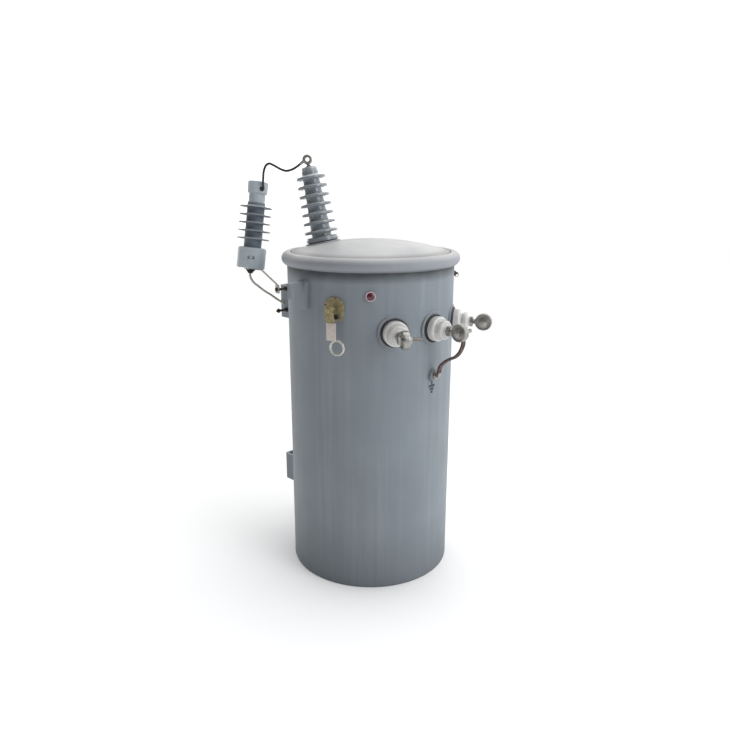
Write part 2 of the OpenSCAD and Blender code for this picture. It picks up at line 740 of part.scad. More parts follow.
tank_wall();
tank_bottom();
core_and_coils();
cover_gasket();
cover();
cover_band();
band_clamp();
lifting_hook(-hook_az);  // lifting_hook_left
lifting_hook(hook_az);  // lifting_hook_right
upper_hanger();
lower_hanger();
side_bolts();
hv_gasket();
hv_flange();
hv_bushing();
hv_cap();
hv_terminal();
hv_lead();
arrester_cap();
arrester_housing();
arrester_base();
arrester_disconnector();
arrester_bracket();
arrester_ground_lead();
breaker_boss();
breaker_shaft();
breaker_button();
handle_lever();
handle_tab();
handle_eye();
signal_bezel();
signal_lens();
relief_valve();
earthing_pad();
earthing_strap();
lv_gaskets();
lv_bushing(lv_az[0]);  // lv_bushing_left
lv_bushing(lv_az[1]);  // lv_bushing_middle
lv_bushing(lv_az[2]);  // lv_bushing_right
lv_terminal(lv_az[0]);  // lv_terminal_left
lv_terminal(lv_az[1]);  // lv_terminal_middle
lv_terminal(lv_az[2]);  // lv_terminal_right
lv_bolt(lv_az[0]);  // lv_bolt_left
lv_bolt(lv_az[1]);  // lv_bolt_middle
lv_bolt(lv_az[2]);  // lv_bolt_right
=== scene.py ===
"""Looks of a pole mounted distribution transformer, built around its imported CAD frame.

The frame's origin is the middle of the tank bottom, on the floor. +Z is up and +Y points at the pole.
Sizes are in millimetres as the maker gives them, and each mesh is turned to metres when it is placed.
Azimuths are in degrees about the tank axis, from the front of the tank (-Y) towards +X.
"""

from __future__ import annotations

import json
import logging
import math
import sys
from dataclasses import dataclass, field, replace
from enum import Enum
from functools import lru_cache
from typing import Callable, Iterable, Sequence

import bmesh
import bpy
from mathutils import Matrix, Vector, noise

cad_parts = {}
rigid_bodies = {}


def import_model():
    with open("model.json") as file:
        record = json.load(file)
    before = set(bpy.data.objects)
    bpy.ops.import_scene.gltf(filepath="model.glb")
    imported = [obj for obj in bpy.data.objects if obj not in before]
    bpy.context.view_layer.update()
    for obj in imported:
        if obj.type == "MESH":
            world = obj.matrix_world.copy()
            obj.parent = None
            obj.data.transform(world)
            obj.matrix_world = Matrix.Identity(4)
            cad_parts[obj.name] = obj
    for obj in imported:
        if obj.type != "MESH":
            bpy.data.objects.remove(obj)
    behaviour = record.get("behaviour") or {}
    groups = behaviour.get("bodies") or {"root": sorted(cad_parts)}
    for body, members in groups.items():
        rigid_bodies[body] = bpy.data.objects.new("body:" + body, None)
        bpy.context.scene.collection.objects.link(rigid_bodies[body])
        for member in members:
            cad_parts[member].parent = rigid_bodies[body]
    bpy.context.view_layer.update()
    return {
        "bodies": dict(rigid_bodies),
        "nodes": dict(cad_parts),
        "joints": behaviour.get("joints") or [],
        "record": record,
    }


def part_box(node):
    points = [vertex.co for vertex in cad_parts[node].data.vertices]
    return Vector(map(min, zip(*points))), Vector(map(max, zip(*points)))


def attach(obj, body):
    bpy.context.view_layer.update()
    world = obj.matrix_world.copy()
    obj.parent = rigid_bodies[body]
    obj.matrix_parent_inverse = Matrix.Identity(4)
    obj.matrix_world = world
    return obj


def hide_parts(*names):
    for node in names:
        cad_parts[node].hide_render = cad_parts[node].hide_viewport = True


LOG = logging.getLogger("transformer")
METRE = 0.001

Outline = list[tuple[float, float]]
Corner = tuple[float, float, float]


class Body(Enum):
    """The CAD bodies that a piece can ride on."""

    TANK = "tank"
    HANDLE = "handle"


class Slot(Enum):
    """The record's material slots."""

    TANK_PAINT = "tank_paint"
    COVER_PAINT = "cover_paint"
    RUBBER = "black_rubber"
    DARK_STEEL = "dark_steel"
    GREY_GLAZE = "grey_glaze"
    ALUMINIUM = "cast_aluminium"
    TINNED = "tinned_metal"
    POLYMER = "grey_polymer"
    GALVANISED = "galvanised_steel"
    EARTH_CABLE = "earth_cable"
    BRONZE = "bronze"
    SIGNAL_RING = "signal_ring"
    SIGNAL_RED = "signal_red"
    BRAID = "dark_braid"
    PORCELAIN = "ivory_porcelain"


# ---------------------------------------------------------------- placing


def turn(axis: str, degrees: float) -> Matrix:
    """A turn about one axis."""
    return Matrix.Rotation(math.radians(degrees), 4, axis)


def move(x: float, y: float, z: float) -> Matrix:
    """A shift in millimetres."""
    return Matrix.Translation((x, y, z))


def on_wall(azimuth: float, height: float, radius: float = 250.0) -> Matrix:
    """A place on the tank wall.

    Args:
        azimuth: Degrees about the tank axis.
        height: Millimetres above the floor.
        radius: Millimetres from the tank axis.

    Returns:
        A frame whose Z points outwards, Y up, and X towards greater azimuth.
    """
    return turn("Z", azimuth) @ move(0, -radius, height) @ turn("X", 90)


# ---------------------------------------------------------------- outlines


def filleted(corners: Sequence[Corner], closed: bool = True, step: float = 12.0) -> Outline:
    """Rounds the corners of a flat outline.

    Args:
        corners: Points as x, y and the corner's radius; 0 keeps a sharp corner.
        closed: False leaves the two end points as they are.
        step: Degrees of arc per segment.

    Returns:
        The outline's points in the same order.
    """
    out: Outline = []
    count = len(corners)
    for i, (x, y, radius) in enumerate(corners):
        here = Vector((x, y))
        if radius <= 0 or (not closed and i in (0, count - 1)):
            out.append((x, y))
            continue
        back = Vector(corners[i - 1][:2]) - here
        ahead = Vector(corners[(i + 1) % count][:2]) - here
        angle = back.angle(ahead)
        reach = min(radius / math.tan(angle / 2), back.length * 0.49, ahead.length * 0.49)
        size = reach * math.tan(angle / 2)
        middle = here + (back.normalized() + ahead.normalized()).normalized() * (size / math.sin(angle / 2))
        first = here + back.normalized() * reach - middle
        last = here + ahead.normalized() * reach - middle
        sweep = first.angle_signed(last)
        parts = max(2, math.ceil(abs(math.degrees(sweep)) / step))
        for k in range(parts + 1):
            spoke = first.copy()
            spoke.rotate(Matrix.Rotation(-sweep * k / parts, 2))
            out.append(tuple(middle + spoke))
    return out


def arc(x: float, y: float, radius: float, start: float, end: float, parts: int) -> Outline:
    """Points on an arc, from one angle in degrees to another."""
    angles = [math.radians(start + (end - start) * k / parts) for k in range(parts + 1)]
    return [(x + radius * math.cos(a), y + radius * math.sin(a)) for a in angles]


def shrunk(outline: Outline, inset: float) -> Outline:
    """Moves a closed outline inwards by a small distance.

    Args:
        outline: The points, in either direction.
        inset: Millimetres inwards.

    Returns:
        As many points as the outline has.
    """
    count = len(outline)
    area = sum(
        outline[i - 1][0] * outline[i][1] - outline[i][0] * outline[i - 1][1] for i in range(count)
    )
    side = 1.0 if area > 0 else -1.0
    out: Outline = []
    for i in range(count):
        a, b, c = (Vector(outline[k % count]) for k in (i - 1, i, i + 1))
        before, after = (b - a).normalized(), (c - b).normalized()
        inward = Vector((-before.y - after.y, before.x + after.x)) * side
        share = 1 + before.dot(after)
        out.append(tuple(b + inward * inset / max(share, 0.6)))
    return out


def curve_through(points: Sequence[Sequence[float]], steps: int = 6) -> list[Vector]:
    """A smooth curve through points.

    Args:
        points: The points to pass, in millimetres.
        steps: Segments between neighbours.

    Returns:
        The curve's points.
    """
    knots = [Vector(p) for p in points]
    last = len(knots) - 1
    out: list[Vector] = []
    for i in range(last):
        a, b, c, d = knots[max(i - 1, 0)], knots[i], knots[i + 1], knots[min(i + 2, last)]
        for k in range(steps):
            t = k / steps
            out.append(
                0.5 * (2 * b + (c - a) * t + (2 * a - 5 * b + 4 * c - d) * t * t
                       + (3 * b - a - 3 * c + d) * t * t * t)
            )
    return [*out, knots[-1]]


# ---------------------------------------------------------------- meshes


class Form:
    """A mesh in the making, in millimetres in the object's frame."""

    def __init__(self) -> None:
        """Starts with nothing."""
        self.points: list[Vector] = []
        self.faces: list[tuple[int, ...]] = []
        self.lay: list[tuple[float, float]] = []

    def skin(self, rings: Sequence[Sequence[Vector]], joined: bool = False) -> Form:
        """Joins neighbouring rings with faces.

        Args:
            rings: Rings of as many points each; a ring of one point is a tip.
            joined: True joins the last ring to the first; otherwise the ends are capped.

        Returns:
            This form.
        """
        starts: list[int] = []
        for ring in rings:
            starts.append(len(self.points))
            self.points += [Vector(p) for p in ring]
        pairs = [(i, i + 1) for i in range(len(rings) - 1)] + ([(len(rings) - 1, 0)] if joined else [])
        for a, b in pairs:
            size_a, size_b = len(rings[a]), len(rings[b])
            size = max(size_a, size_b)
            for j in range(size):
                k = (j + 1) % size
                corners = (
                    starts[a] + (j if size_a > 1 else 0), starts[a] + (k if size_a > 1 else 0),
                    starts[b] + (k if size_b > 1 else 0), starts[b] + (j if size_b > 1 else 0),
                )
                self.faces.append(tuple(dict.fromkeys(corners)))
        if not joined:
            for i in (0, len(rings) - 1):
                if len(rings[i]) > 1:
                    self.faces.append(tuple(range(starts[i], starts[i] + len(rings[i]))))
        return self

    def lathe(self, outline: Outline, place: Matrix, steps: int = 96, ring: bool = False) -> Form:
        """Turns an outline of radius and height about a frame's Z.

        Args:
            outline: Radius and height pairs.
            place: The frame.
            steps: Segments round.
            ring: True for a closed outline that goes round a hole.

        Returns:
            This form.
        """
        spokes = [(math.cos(math.tau * k / steps), math.sin(math.tau * k / steps)) for k in range(steps)]
        rings = [
            [place @ Vector((r * c, r * s, h)) for c, s in spokes] if r > 1e-6
            else [place @ Vector((0, 0, h))]
            for r, h in outline
        ]
        return self.skin(rings, joined=ring)

    def prism(self, outline: Outline, low: float, high: float, place: Matrix, edge: float = 1.0) -> Form:
        """Raises an outline along a frame's Z, with rounded edges.

        Args:
            outline: A closed outline in the frame's X and Y.
            low: Where it starts along Z.
            high: Where it ends along Z.
            place: The frame.
            edge: Radius of the rounded edges.

        Returns:
            This form.
        """
        levels = [(1.0, 0.0), (0.62, 0.08), (0.3, 0.3), (0.08, 0.62), (0.0, 1.0)]
        stack = [(edge * s, low + edge * h) for s, h in levels]
        stack += [(edge * s, high - edge * h) for s, h in reversed(levels)]
        rings = [[place @ Vector((x, y, h)) for x, y in shrunk(outline, inset)] for inset, h in stack]
        return self.skin(rings)

    def block(self, low: Sequence[float], high: Sequence[float], place: Matrix, edge: float = 1.0) -> Form:
        """A box with rounded edges, from one corner to the other in a frame."""
        corners = [(x, y, edge) for x, y in (low[:2], (high[0], low[1]), high[:2], (low[0], high[1]))]
        return self.prism(filleted(corners, step=30), low[2], high[2], place, edge)

    def sweep(self, path: Sequence[Vector], section: Callable[[int, float], Outline], side: Vector) -> Form:
        """Carries a section along a path.

        Args:
            path: The path's points.
            section: Gives the section at a point, from its number and its distance from the start.
            side: A direction across the path at its start.

        Returns:
            This form.
        """
        rings: list[list[Vector]] = []
        across = side.normalized()
        run = 0.0
        first = len(self.points)
        lay: list[tuple[float, float]] = []
        for i, point in enumerate(path):
            along = (path[min(i + 1, len(path) - 1)] - path[max(i - 1, 0)]).normalized()
            across = (across - along * across.dot(along)).normalized()
            out = along.cross(across)
            run += (point - path[i - 1]).length if i else 0.0
            shape = section(i, run)
            rings.append([point + across * x + out * y for x, y in shape])
            lay += [(x, run) for x, _ in shape]
        self.skin(rings)
        self.lay += [(0.0, 0.0)] * (first - len(self.lay)) + lay
        return self

    def cable(self, path: Sequence[Vector], diameter: float, side: Vector, steps: int = 20) -> Form:
        """A round cable with softly cut ends along a path."""
        length = sum((b - a).length for a, b in zip(path, path[1:]))

        def section(number: int, run: float) -> Outline:
            """A circle, a little smaller at the two ends."""
            trim = 0.82 if number in (0, len(path) - 1) else 1.0
            return arc(0, 0, diameter / 2 * trim, 0, 360 - 360 / steps, steps - 1)

        LOG.debug("cable of %.0f mm", length)
        return self.sweep(path, section, side)

    def weld(self, path: Sequence[Vector], width: float, side: Vector, pitch: float = 4.0) -> Form:
        """A weld bead with its ripples along a path.

        Args:
            path: The joint's line; it is walked in steps of a quarter ripple.
            width: Width of the bead.
            side: A direction across the path at its start.
            pitch: Length of one ripple.

        Returns:
            This form.
        """
        walked = walk(path, pitch / 4)

        def section(number: int, run: float) -> Outline:
            """A circle that swells and sinks once a ripple."""
            ripple = 0.5 - 0.5 * math.cos(math.tau * run / pitch)
            drift = 0.06 * noise.noise(Vector((run * 0.08, width, pitch)))
            end = 0.55 if number in (0, len(walked) - 1) else 1.0
            return arc(0, 0, width / 2 * (0.88 + 0.12 * ripple + drift) * end, 0, 330, 11)

        return self.sweep(walked, section, side)

    def thread(self, place: Matrix, length: float, diameter: float, pitch: float = 1.75) -> Form:
        """A threaded rod along a frame's Z, with a real helix and a chamfered end.

        Args:
            place: The frame; the rod starts at its origin.
            length: Length of the rod.
            diameter: Outside diameter.
            pitch: Distance from one thread to the next.

        Returns:
            This form.
        """
        steps, parts = 24, 4
        rows = max(2, round(length / pitch * parts))
        rings: list[list[Vector]] = []
        for i in range(rows + 1):
            height = length * i / rows
            chamfer = max(0.0, 1.2 - (length - height)) * 0.8
            ring = []
            for k in range(steps):
                phase = (height / pitch - k / steps) % 1.0
                radius = diameter / 2 - pitch * 0.5 * (1 - abs(2 * phase - 1)) - chamfer
                angle = math.tau * k / steps
                ring.append(place @ Vector((radius * math.cos(angle), radius * math.sin(angle), height)))
            rings.append(ring)
        return self.skin(rings)

    def hexagon(self, place: Matrix, across: float, height: float, both: bool = True) -> Form:
        """A hexagon nut or bolt head along a frame's Z, with turned chamfers.

        Args:
            place: The frame; it starts at its origin.
            across: Width across two flats.
            height: Height along Z.
            both: False leaves the lower face without a chamfer, as on a bolt's head.

        Returns:
            This form.
        """
        flat = across / 2
        steps = 72

        def reach(k: int) -> float:
            """Distance of the side from the axis."""
            return flat / math.cos(math.radians((360 * k / steps) % 60 - 30))

        def level(base: float, sign: float) -> list[Vector]:
            """The edge where the chamfer meets the sides."""
            drop = [(reach(k) - flat * 0.97) * math.tan(math.radians(30)) for k in range(steps)]
            return [
                place @ (turn("Z", 360 * k / steps) @ Vector((reach(k), 0, base + sign * drop[k])))
                for k in range(steps)
            ]

        def circle(base: float) -> list[Vector]:
            """The round edge of a face."""
            return [
                place @ (turn("Z", 360 * k / steps) @ Vector((flat * 0.97, 0, base))) for k in range(steps)
            ]

        plain = [place @ (turn("Z", 360 * k / steps) @ Vector((reach(k), 0, 0))) for k in range(steps)]
        lower = [circle(0), level(0, 1)] if both else [plain]
        return self.skin([*lower, level(height, -1), circle(height)])

    def washer(self, place: Matrix, outside: float, thickness: float, hole: float = 0.0) -> Form:
        """A washer with eased edges; without a hole it is a plain disc."""
        r, h, e = outside / 2, thickness, min(0.5, thickness / 3)
        rim = [(r, 0, e), (r, h, e)]
        if hole:
            return self.lathe(
                filleted([(hole / 2, 0, 0), *rim, (hole / 2, h, 0)], step=30), place, 64, ring=True
            )
        return self.lathe(filleted([(0, 0, 0), *rim, (0, h, 0)], closed=False, step=30), place, 64)

    def carved(self, cutter: Form, edge: float = 0.0) -> Form:
        """Takes another form away, and rounds what edges are then sharp.

        Args:
            cutter: The form to take away.
            edge: Radius of the rounding; 0 leaves the edges sharp.

        Returns:
            A new form.
        """
        blank, tool = self.loose("blank"), cutter.loose("tool")
        cut = blank.modifiers.new("cut", "BOOLEAN")
        cut.operation, cut.solver, cut.object = "DIFFERENCE", "EXACT", tool
        if edge:
            soften = blank.modifiers.new("soften", "BEVEL")
            soften.limit_method, soften.angle_limit = "ANGLE", math.radians(35)
            soften.width, soften.segments = edge, 2
            soften.use_clamp_overlap = True
        mesh = blank.evaluated_get(bpy.context.evaluated_depsgraph_get()).to_mesh()
        out = Form()
        out.points = [v.co.copy() for v in mesh.vertices]
        out.faces = [tuple(p.vertices) for p in mesh.polygons]
        for part in (blank, tool):
            bpy.data.objects.remove(part)
        return out

    def loose(self, name: str) -> bpy.types.Object:
        """An object of this form that isn't yet a piece, in millimetres."""
        item = bpy.data.objects.new(name, self.mesh(name, 1.0))
        bpy.context.scene.collection.objects.link(item)
        return item

    def mesh(self, name: str, scale: float = METRE) -> bpy.types.Mesh:
        """Makes Blender's mesh.

        Args:
            name: The mesh's name.
            scale: Metres per unit.

        Returns:
            A closed mesh whose faces look outwards.
        """
        mesh = bpy.data.meshes.new(name)
        mesh.from_pydata([p * scale for p in self.points], [], self.faces)
        work = bmesh.new()
        work.from_mesh(mesh)
        bmesh.ops.recalc_face_normals(work, faces=work.faces)
        work.to_mesh(mesh)
        work.free()
        if any(self.lay):
            rows = self.lay + [(0.0, 0.0)] * (len(self.points) - len(self.lay))
            lay = mesh.attributes.new("lay", "FLOAT_VECTOR", "POINT")
            lay.data.foreach_set("vector", [c * scale for x, run in rows for c in (x, run, 0.0)])
        return mesh


def walk(path: Sequence[Vector], step: float) -> list[Vector]:
    """Points at even steps along a path."""
    out = [path[0].copy()]
    for a, b in zip(path, path[1:]):
        parts = max(1, round((b - a).length / step))
        out += [a.lerp(b, k / parts) for k in range(1, parts + 1)]
    return out


# ---------------------------------------------------------------- finishes


def linear(shade: str) -> tuple[float, float, float, float]:
    """Turns an sRGB hex colour to linear light."""
    parts = [int(shade[i : i + 2], 16) / 255 for i in (1, 3, 5)]
    return (*(c / 12.92 if c <= 0.04045 else ((c + 0.055) / 1.055) ** 2.4 for c in parts), 1.0)


def per(size_mm: float) -> float:
    """The texture scale at which one feature is this many millimetres wide."""
    return 1.0 / (size_mm * METRE)


def add_node(tree: bpy.types.NodeTree, kind: str, inputs: dict | None = None, **settings) -> bpy.types.Node:
    """Adds a shader node with its settings and links.

    Args:
        tree: The node tree.
        kind: The node's type, without its ShaderNode prefix.
        inputs: Values or output sockets for its inputs, by name or number.
        **settings: The node's own properties.

    Returns:
        The node.
    """
    node = tree.nodes.new("ShaderNode" + kind)
    for key, value in settings.items():
        setattr(node, key, value)
    for key, value in (inputs or {}).items():
        if isinstance(value, bpy.types.NodeSocket):
            tree.links.new(value, node.inputs[key])
        else:
            node.inputs[key].default_value = value
    return node


@dataclass(frozen=True)
class Finish:
    """What a surface is and how it was made, and with it how it meets the light."""

    name: str
    shade: str
    cloud: str
    patch_mm: float
    roughness: tuple[float, float]
    grain_mm: float
    grain_deep_mm: float
    metallic: float = 0.0
    ior: float = 1.5
    coat: float = 0.0
    coat_roughness: float = 0.1
    fleck: str = ""
    fleck_mm: float = 4.0
    fleck_share: float = 0.0
    # Pale dust on faces that look up; on the cover, the grey glaze and the arrester's silicone it is partly
    # painted light from above.
    dust_and_top_light: float = 0.0
    # Pale vertical streaks: partly paint run marks, partly painted highlight streaks.
    runs_and_highlight_streaks: float = 0.0
    # Darkening between two heights: painted shadow under the clamp band, painted shade in the dome's groove,
    # and darker towards the tank's bottom.
    darkening_by_height: tuple[tuple[float, float, float], ...] = ()

    def material(self) -> bpy.types.Material:
        """The material of this finish, made once."""
        return made_material(self)

    def lay(self, tree: bpy.types.NodeTree) -> bpy.types.NodeSocket:
        """The coordinates that the pattern lies on: the frame's own metres."""
        return add_node(tree, "TexCoord").outputs["Object"]

    def relief(self, tree: bpy.types.NodeTree, where: bpy.types.NodeSocket) -> bpy.types.NodeSocket:
        """The height of the surface's fine grain, from 0 to 1."""
        grain = add_node(tree, "TexNoise", {"Vector": where, "Scale": per(self.grain_mm), "Detail": 2.0,
                                            "Roughness": 0.5})
        return grain.outputs["Fac"]

    def colour(
        self, tree: bpy.types.NodeTree, where: bpy.types.NodeSocket, height: bpy.types.NodeSocket
    ) -> bpy.types.NodeSocket:
        """The surface's colour: soft clouds, then flecks, pale streaks that are partly run marks and partly
        painted highlight, darkening by height that is partly painted shade, and dust that is partly painted
        light on faces that look up, where it has them.

        Args:
            tree: The node tree.
            where: The pattern's coordinates.
            height: The grain's height.

        Returns:
            The colour.
        """
        cloud = add_node(tree, "TexNoise", {"Vector": where, "Scale": per(self.patch_mm), "Detail": 4.0,
                                            "Roughness": 0.55})
        share = add_node(tree, "MapRange", {"Value": cloud.outputs["Fac"],
                                            "From Min": 0.32, "From Max": 0.68})
        tone = blend(tree, share.outputs["Result"], linear(self.shade), linear(self.cloud))
        if self.fleck:
            cell = add_node(tree, "TexVoronoi", {"Vector": where, "Scale": per(self.fleck_mm)})
            dot = add_node(tree, "MapRange", {"Value": cell.outputs["Distance"],
                                              "From Min": 0.10, "From Max": 0.16,
                                              "To Min": self.fleck_share, "To Max": 0.0})
            tone = blend(tree, dot.outputs["Result"], tone, linear(self.fleck))
        # Pale vertical streaks, partly paint run marks and partly painted highlight streaks of the lamps.
        if self.runs_and_highlight_streaks:
            run = add_node(tree, "Mapping", {"Vector": where, "Scale": (1.0, 1.0, 0.035)})
            mark = add_node(tree, "TexNoise", {"Vector": run.outputs["Vector"],
                                               "Scale": per(13.0), "Detail": 3.0})
            wide = add_node(tree, "TexNoise", {"Vector": run.outputs["Vector"],
                                               "Scale": per(60.0), "Detail": 1.0})
            both = add_node(tree, "Math", {0: mark.outputs["Fac"], 1: wide.outputs["Fac"]},
                            operation="MULTIPLY")
            thin = add_node(tree, "MapRange", {"Value": both.outputs["Value"],
                                               "From Min": 0.24, "From Max": 0.42,
                                               "To Min": 0.0, "To Max": self.runs_and_highlight_streaks})
            tone = blend(tree, thin.outputs["Result"], tone, linear("#C9CED2"))
        # Darkening between two heights, in patches: painted shadow under the clamp band, painted shade in the
        # dome's groove, and darker towards the tank's bottom.
        for full, fade_end_z, share in self.darkening_by_height:
            spot = add_node(tree, "SeparateXYZ", {"Vector": where})
            low = add_node(tree, "MapRange", {"Value": spot.outputs["Z"], "From Min": full * METRE,
                                              "From Max": fade_end_z * METRE, "To Min": share, "To Max": 0.0})
            patchy = add_node(tree, "Math", {0: low.outputs["Result"], 1: cloud.outputs["Fac"]},
                              operation="MULTIPLY")
            tone = blend(tree, patchy.outputs["Value"], tone, linear("#34383B"))
        # Paler on faces that look up: partly pale dust, partly painted light from above.
        if self.dust_and_top_light:
            facing = add_node(tree, "NewGeometry")
            up = add_node(tree, "SeparateXYZ", {"Vector": facing.outputs["Normal"]})
            flat = add_node(tree, "MapRange", {"Value": up.outputs["Z"], "From Min": 0.25, "From Max": 1.0,
                                               "To Min": 0.0, "To Max": self.dust_and_top_light})
            dust_and_light_share = add_node(tree, "Math", {0: flat.outputs["Result"], 1: cloud.outputs["Fac"]},
                               operation="MULTIPLY")
            tone = blend(tree, dust_and_light_share.outputs["Value"], tone, linear("#D6D4CF"))
        return tone

    def shine(self, tree: bpy.types.NodeTree, where: bpy.types.NodeSocket) -> bpy.types.NodeSocket:
        """The surface's roughness, which drifts between its two limits."""
        drift = add_node(tree, "TexNoise", {"Vector": where, "Scale": per(self.patch_mm * 0.4),
                                            "Detail": 5.0})
        low, high = self.roughness
        return add_node(tree, "MapRange", {"Value": drift.outputs["Fac"], "From Min": 0.3, "From Max": 0.7,
                                           "To Min": low, "To Max": high}).outputs["Result"]

    def build(self) -> bpy.types.Material:
        """Builds the material from its colour, shine and relief."""
        material = bpy.data.materials.new(self.name)
        material.use_nodes = True
        tree = material.node_tree
        tree.nodes.clear()
        where = self.lay(tree)
        height = self.relief(tree, where)
        bump = add_node(tree, "Bump", {"Height": height, "Strength": 1.0,
                                       "Distance": self.grain_deep_mm * METRE})
        shader = add_node(tree, "BsdfPrincipled", {
            "Base Color": self.colour(tree, where, height), "Roughness": self.shine(tree, where),
            "Normal": bump.outputs["Normal"], "Metallic": self.metallic, "Coat Weight": self.coat,
            "Coat Roughness": self.coat_roughness,
        })
        if not self.metallic:
            shader.inputs["IOR"].default_value = self.ior
        add_node(tree, "OutputMaterial", {"Surface": shader.outputs["BSDF"]})
        return material


def blend(
    tree: bpy.types.NodeTree, share: bpy.types.NodeSocket, low: object, high: object
) -> bpy.types.NodeSocket:
    """Mixes two colours by a share from 0 to 1."""
    mix = add_node(tree, "Mix", {0: share}, data_type="RGBA")
    for number, value in ((6, low), (7, high)):
        if isinstance(value, bpy.types.NodeSocket):
            tree.links.new(value, mix.inputs[number])
        else:
            mix.inputs[number].default_value = value
    return mix.outputs[2]


@lru_cache(maxsize=None)
def made_material(finish: Finish) -> bpy.types.Material:
    """The one material of a finish."""
    return finish.build()


@dataclass(frozen=True)
class Braid(Finish):
    """Flat braided strap: two sets of strand bundles that cross on the slant."""

    bundle_mm: float = 3.2

    def lay(self, tree: bpy.types.NodeTree) -> bpy.types.NodeSocket:
        """The coordinates across and along the strap."""
        return add_node(tree, "Attribute", attribute_name="lay").outputs["Vector"]

    def relief(self, tree: bpy.types.NodeTree, where: bpy.types.NodeSocket) -> bpy.types.NodeSocket:
        """Height of the crossing bundles; the weave is drawn a little coarse so that it shows."""
        sets = []
        for slant in (45.0, -45.0):
            turned = add_node(tree, "Mapping", {"Vector": where, "Rotation": (0.0, 0.0, math.radians(slant))})
            band = add_node(tree, "TexWave", {"Vector": turned.outputs["Vector"],
                                              "Scale": per(self.bundle_mm) / 20,
                                              "Distortion": 0.4, "Detail": 1.0},
                            wave_type="BANDS", bands_direction="X", wave_profile="SIN")
            sets.append(band.outputs["Fac"])
        return add_node(tree, "Math", {0: sets[0], 1: sets[1]}, operation="MAXIMUM").outputs["Value"]

    def colour(
        self, tree: bpy.types.NodeTree, where: bpy.types.NodeSocket, height: bpy.types.NodeSocket
    ) -> bpy.types.NodeSocket:
        """Painted shade: dark in the gaps between bundles, paler on their backs."""
        return blend(tree, height, linear(self.cloud), linear(self.shade))


@dataclass(frozen=True)
class Stacked(Finish):
    """Edges of stacked sheets: thin level lines."""

    def relief(self, tree: bpy.types.NodeTree, where: bpy.types.NodeSocket) -> bpy.types.NodeSocket:
        """Height of the sheets' edges."""
        line = add_node(tree, "TexWave",
                        {"Vector": where, "Scale": per(self.grain_mm) / 20, "Distortion": 0.2},
                        wave_type="BANDS", bands_direction="Z")
        return line.outputs["Fac"]


@dataclass(frozen=True)
class Brushed(Finish):
    """Metal brushed one way: fine lines along the frame's X."""

    def relief(self, tree: bpy.types.NodeTree, where: bpy.types.NodeSocket) -> bpy.types.NodeSocket:
        """Height of the brush lines."""
        drawn = add_node(tree, "Mapping", {"Vector": where, "Scale": (0.04, 1.0, 1.0)})
        line = add_node(tree, "TexNoise", {"Vector": drawn.outputs["Vector"], "Scale": per(self.grain_mm),
                                           "Detail": 4.0})
        return line.outputs["Fac"]


# Sprayed two-pack enamel on rolled steel: a satin skin with faint orange peel, pale streaks that are partly
# run marks and partly painted highlight, and dust; a painted shadow under the clamp band, and darker towards
# the bottom
TANK_ENAMEL = Finish("satin_enamel_tank", "#787F86", "#7F878E", 230.0, (0.46, 0.58), 2.6, 0.035, ior=1.45,
                     dust_and_top_light=0.3, runs_and_highlight_streaks=0.07,
                     darkening_by_height=((0.0, 200.0, 0.75), (947.0, 914.0, 2.2)))
# The same enamel on the pressed cover, paler as painted light from above, with dust that is partly painted
# light on faces that look up, and painted shade on the band's lower side
COVER_ENAMEL = Finish("satin_enamel_cover", "#8A8D93", "#909399", 200.0, (0.44, 0.56), 2.6, 0.03, ior=1.45,
                      dust_and_top_light=0.8, darkening_by_height=((942.0, 954.0, 1.3),))
# The cover's dome: the same, with painted shade in the groove at its edge
DOME_ENAMEL = replace(COVER_ENAMEL, name="satin_enamel_dome", darkening_by_height=((984.0, 990.0, 2.2),))
# Varnished core and coils: dark sheets stacked on edge
VARNISHED_CORE = Stacked("varnished_core", "#5E4A38", "#4A3A2C", 30.0, (0.35, 0.5), 2.0, 0.3)
# Moulded nitrile rubber: matt black with a fine grain
NITRILE = Finish("nitrile_rubber", "#1B1C1E", "#242527", 18.0, (0.55, 0.72), 0.8, 0.03, ior=1.52, dust_and_top_light=0.25)
# Steel bolts with an aged black oxide skin: almost black, brownish where it has worn
BLACK_STEEL = Finish("black_oxide_steel", "#3A3633", "#4E463F", 7.0, (0.38, 0.55), 0.7, 0.03, metallic=0.8)
# Grey glazed porcelain: glassy, with soft pooling and the odd dark speck of the clay; its dust on the sheds'
# tops is partly painted light from above
GREY_GLAZE = Finish("grey_glazed_porcelain", "#747C83", "#7C848B", 26.0, (0.18, 0.28), 5.0, 0.03, ior=1.52,
                    coat=0.4, coat_roughness=0.08, fleck="#5C6064", fleck_mm=6.0, fleck_share=0.35, dust_and_top_light=1.1)
# Off-white glazed porcelain of the wall bushings
IVORY_GLAZE = Finish("off_white_glazed_porcelain", "#C6C5C2", "#CDCCC9", 24.0, (0.16, 0.26), 5.0, 0.03,
                     ior=1.52,
                     coat=0.4, coat_roughness=0.08, fleck="#A8A49C", fleck_mm=5.0, fleck_share=0.4, dust_and_top_light=0.1)
# Sand-cast aluminium: pale, with the sand's open grain
CAST_ALUMINIUM = Finish("sand_cast_aluminium", "#A9ACB0", "#989CA0", 14.0, (0.42, 0.58), 1.1, 0.08,
                        metallic=0.75)
# Tin-plated bronze: soft grey metal, clouded by handling
TINNED_BRONZE = Finish("tinned_bronze", "#A9A7A3", "#8F8D89", 11.0, (0.28, 0.44), 1.0, 0.03, metallic=0.85)
# Moulded silicone rubber of the arrester: even blue-grey, kept dark as painted shade on the core between the
# sheds, with a dull bloom of dust on the sheds' tops that is partly painted light from above
SILICONE = Finish("moulded_silicone", "#6A747E", "#727C85", 30.0, (0.42, 0.55), 1.6, 0.02, ior=1.43, dust_and_top_light=1.1)
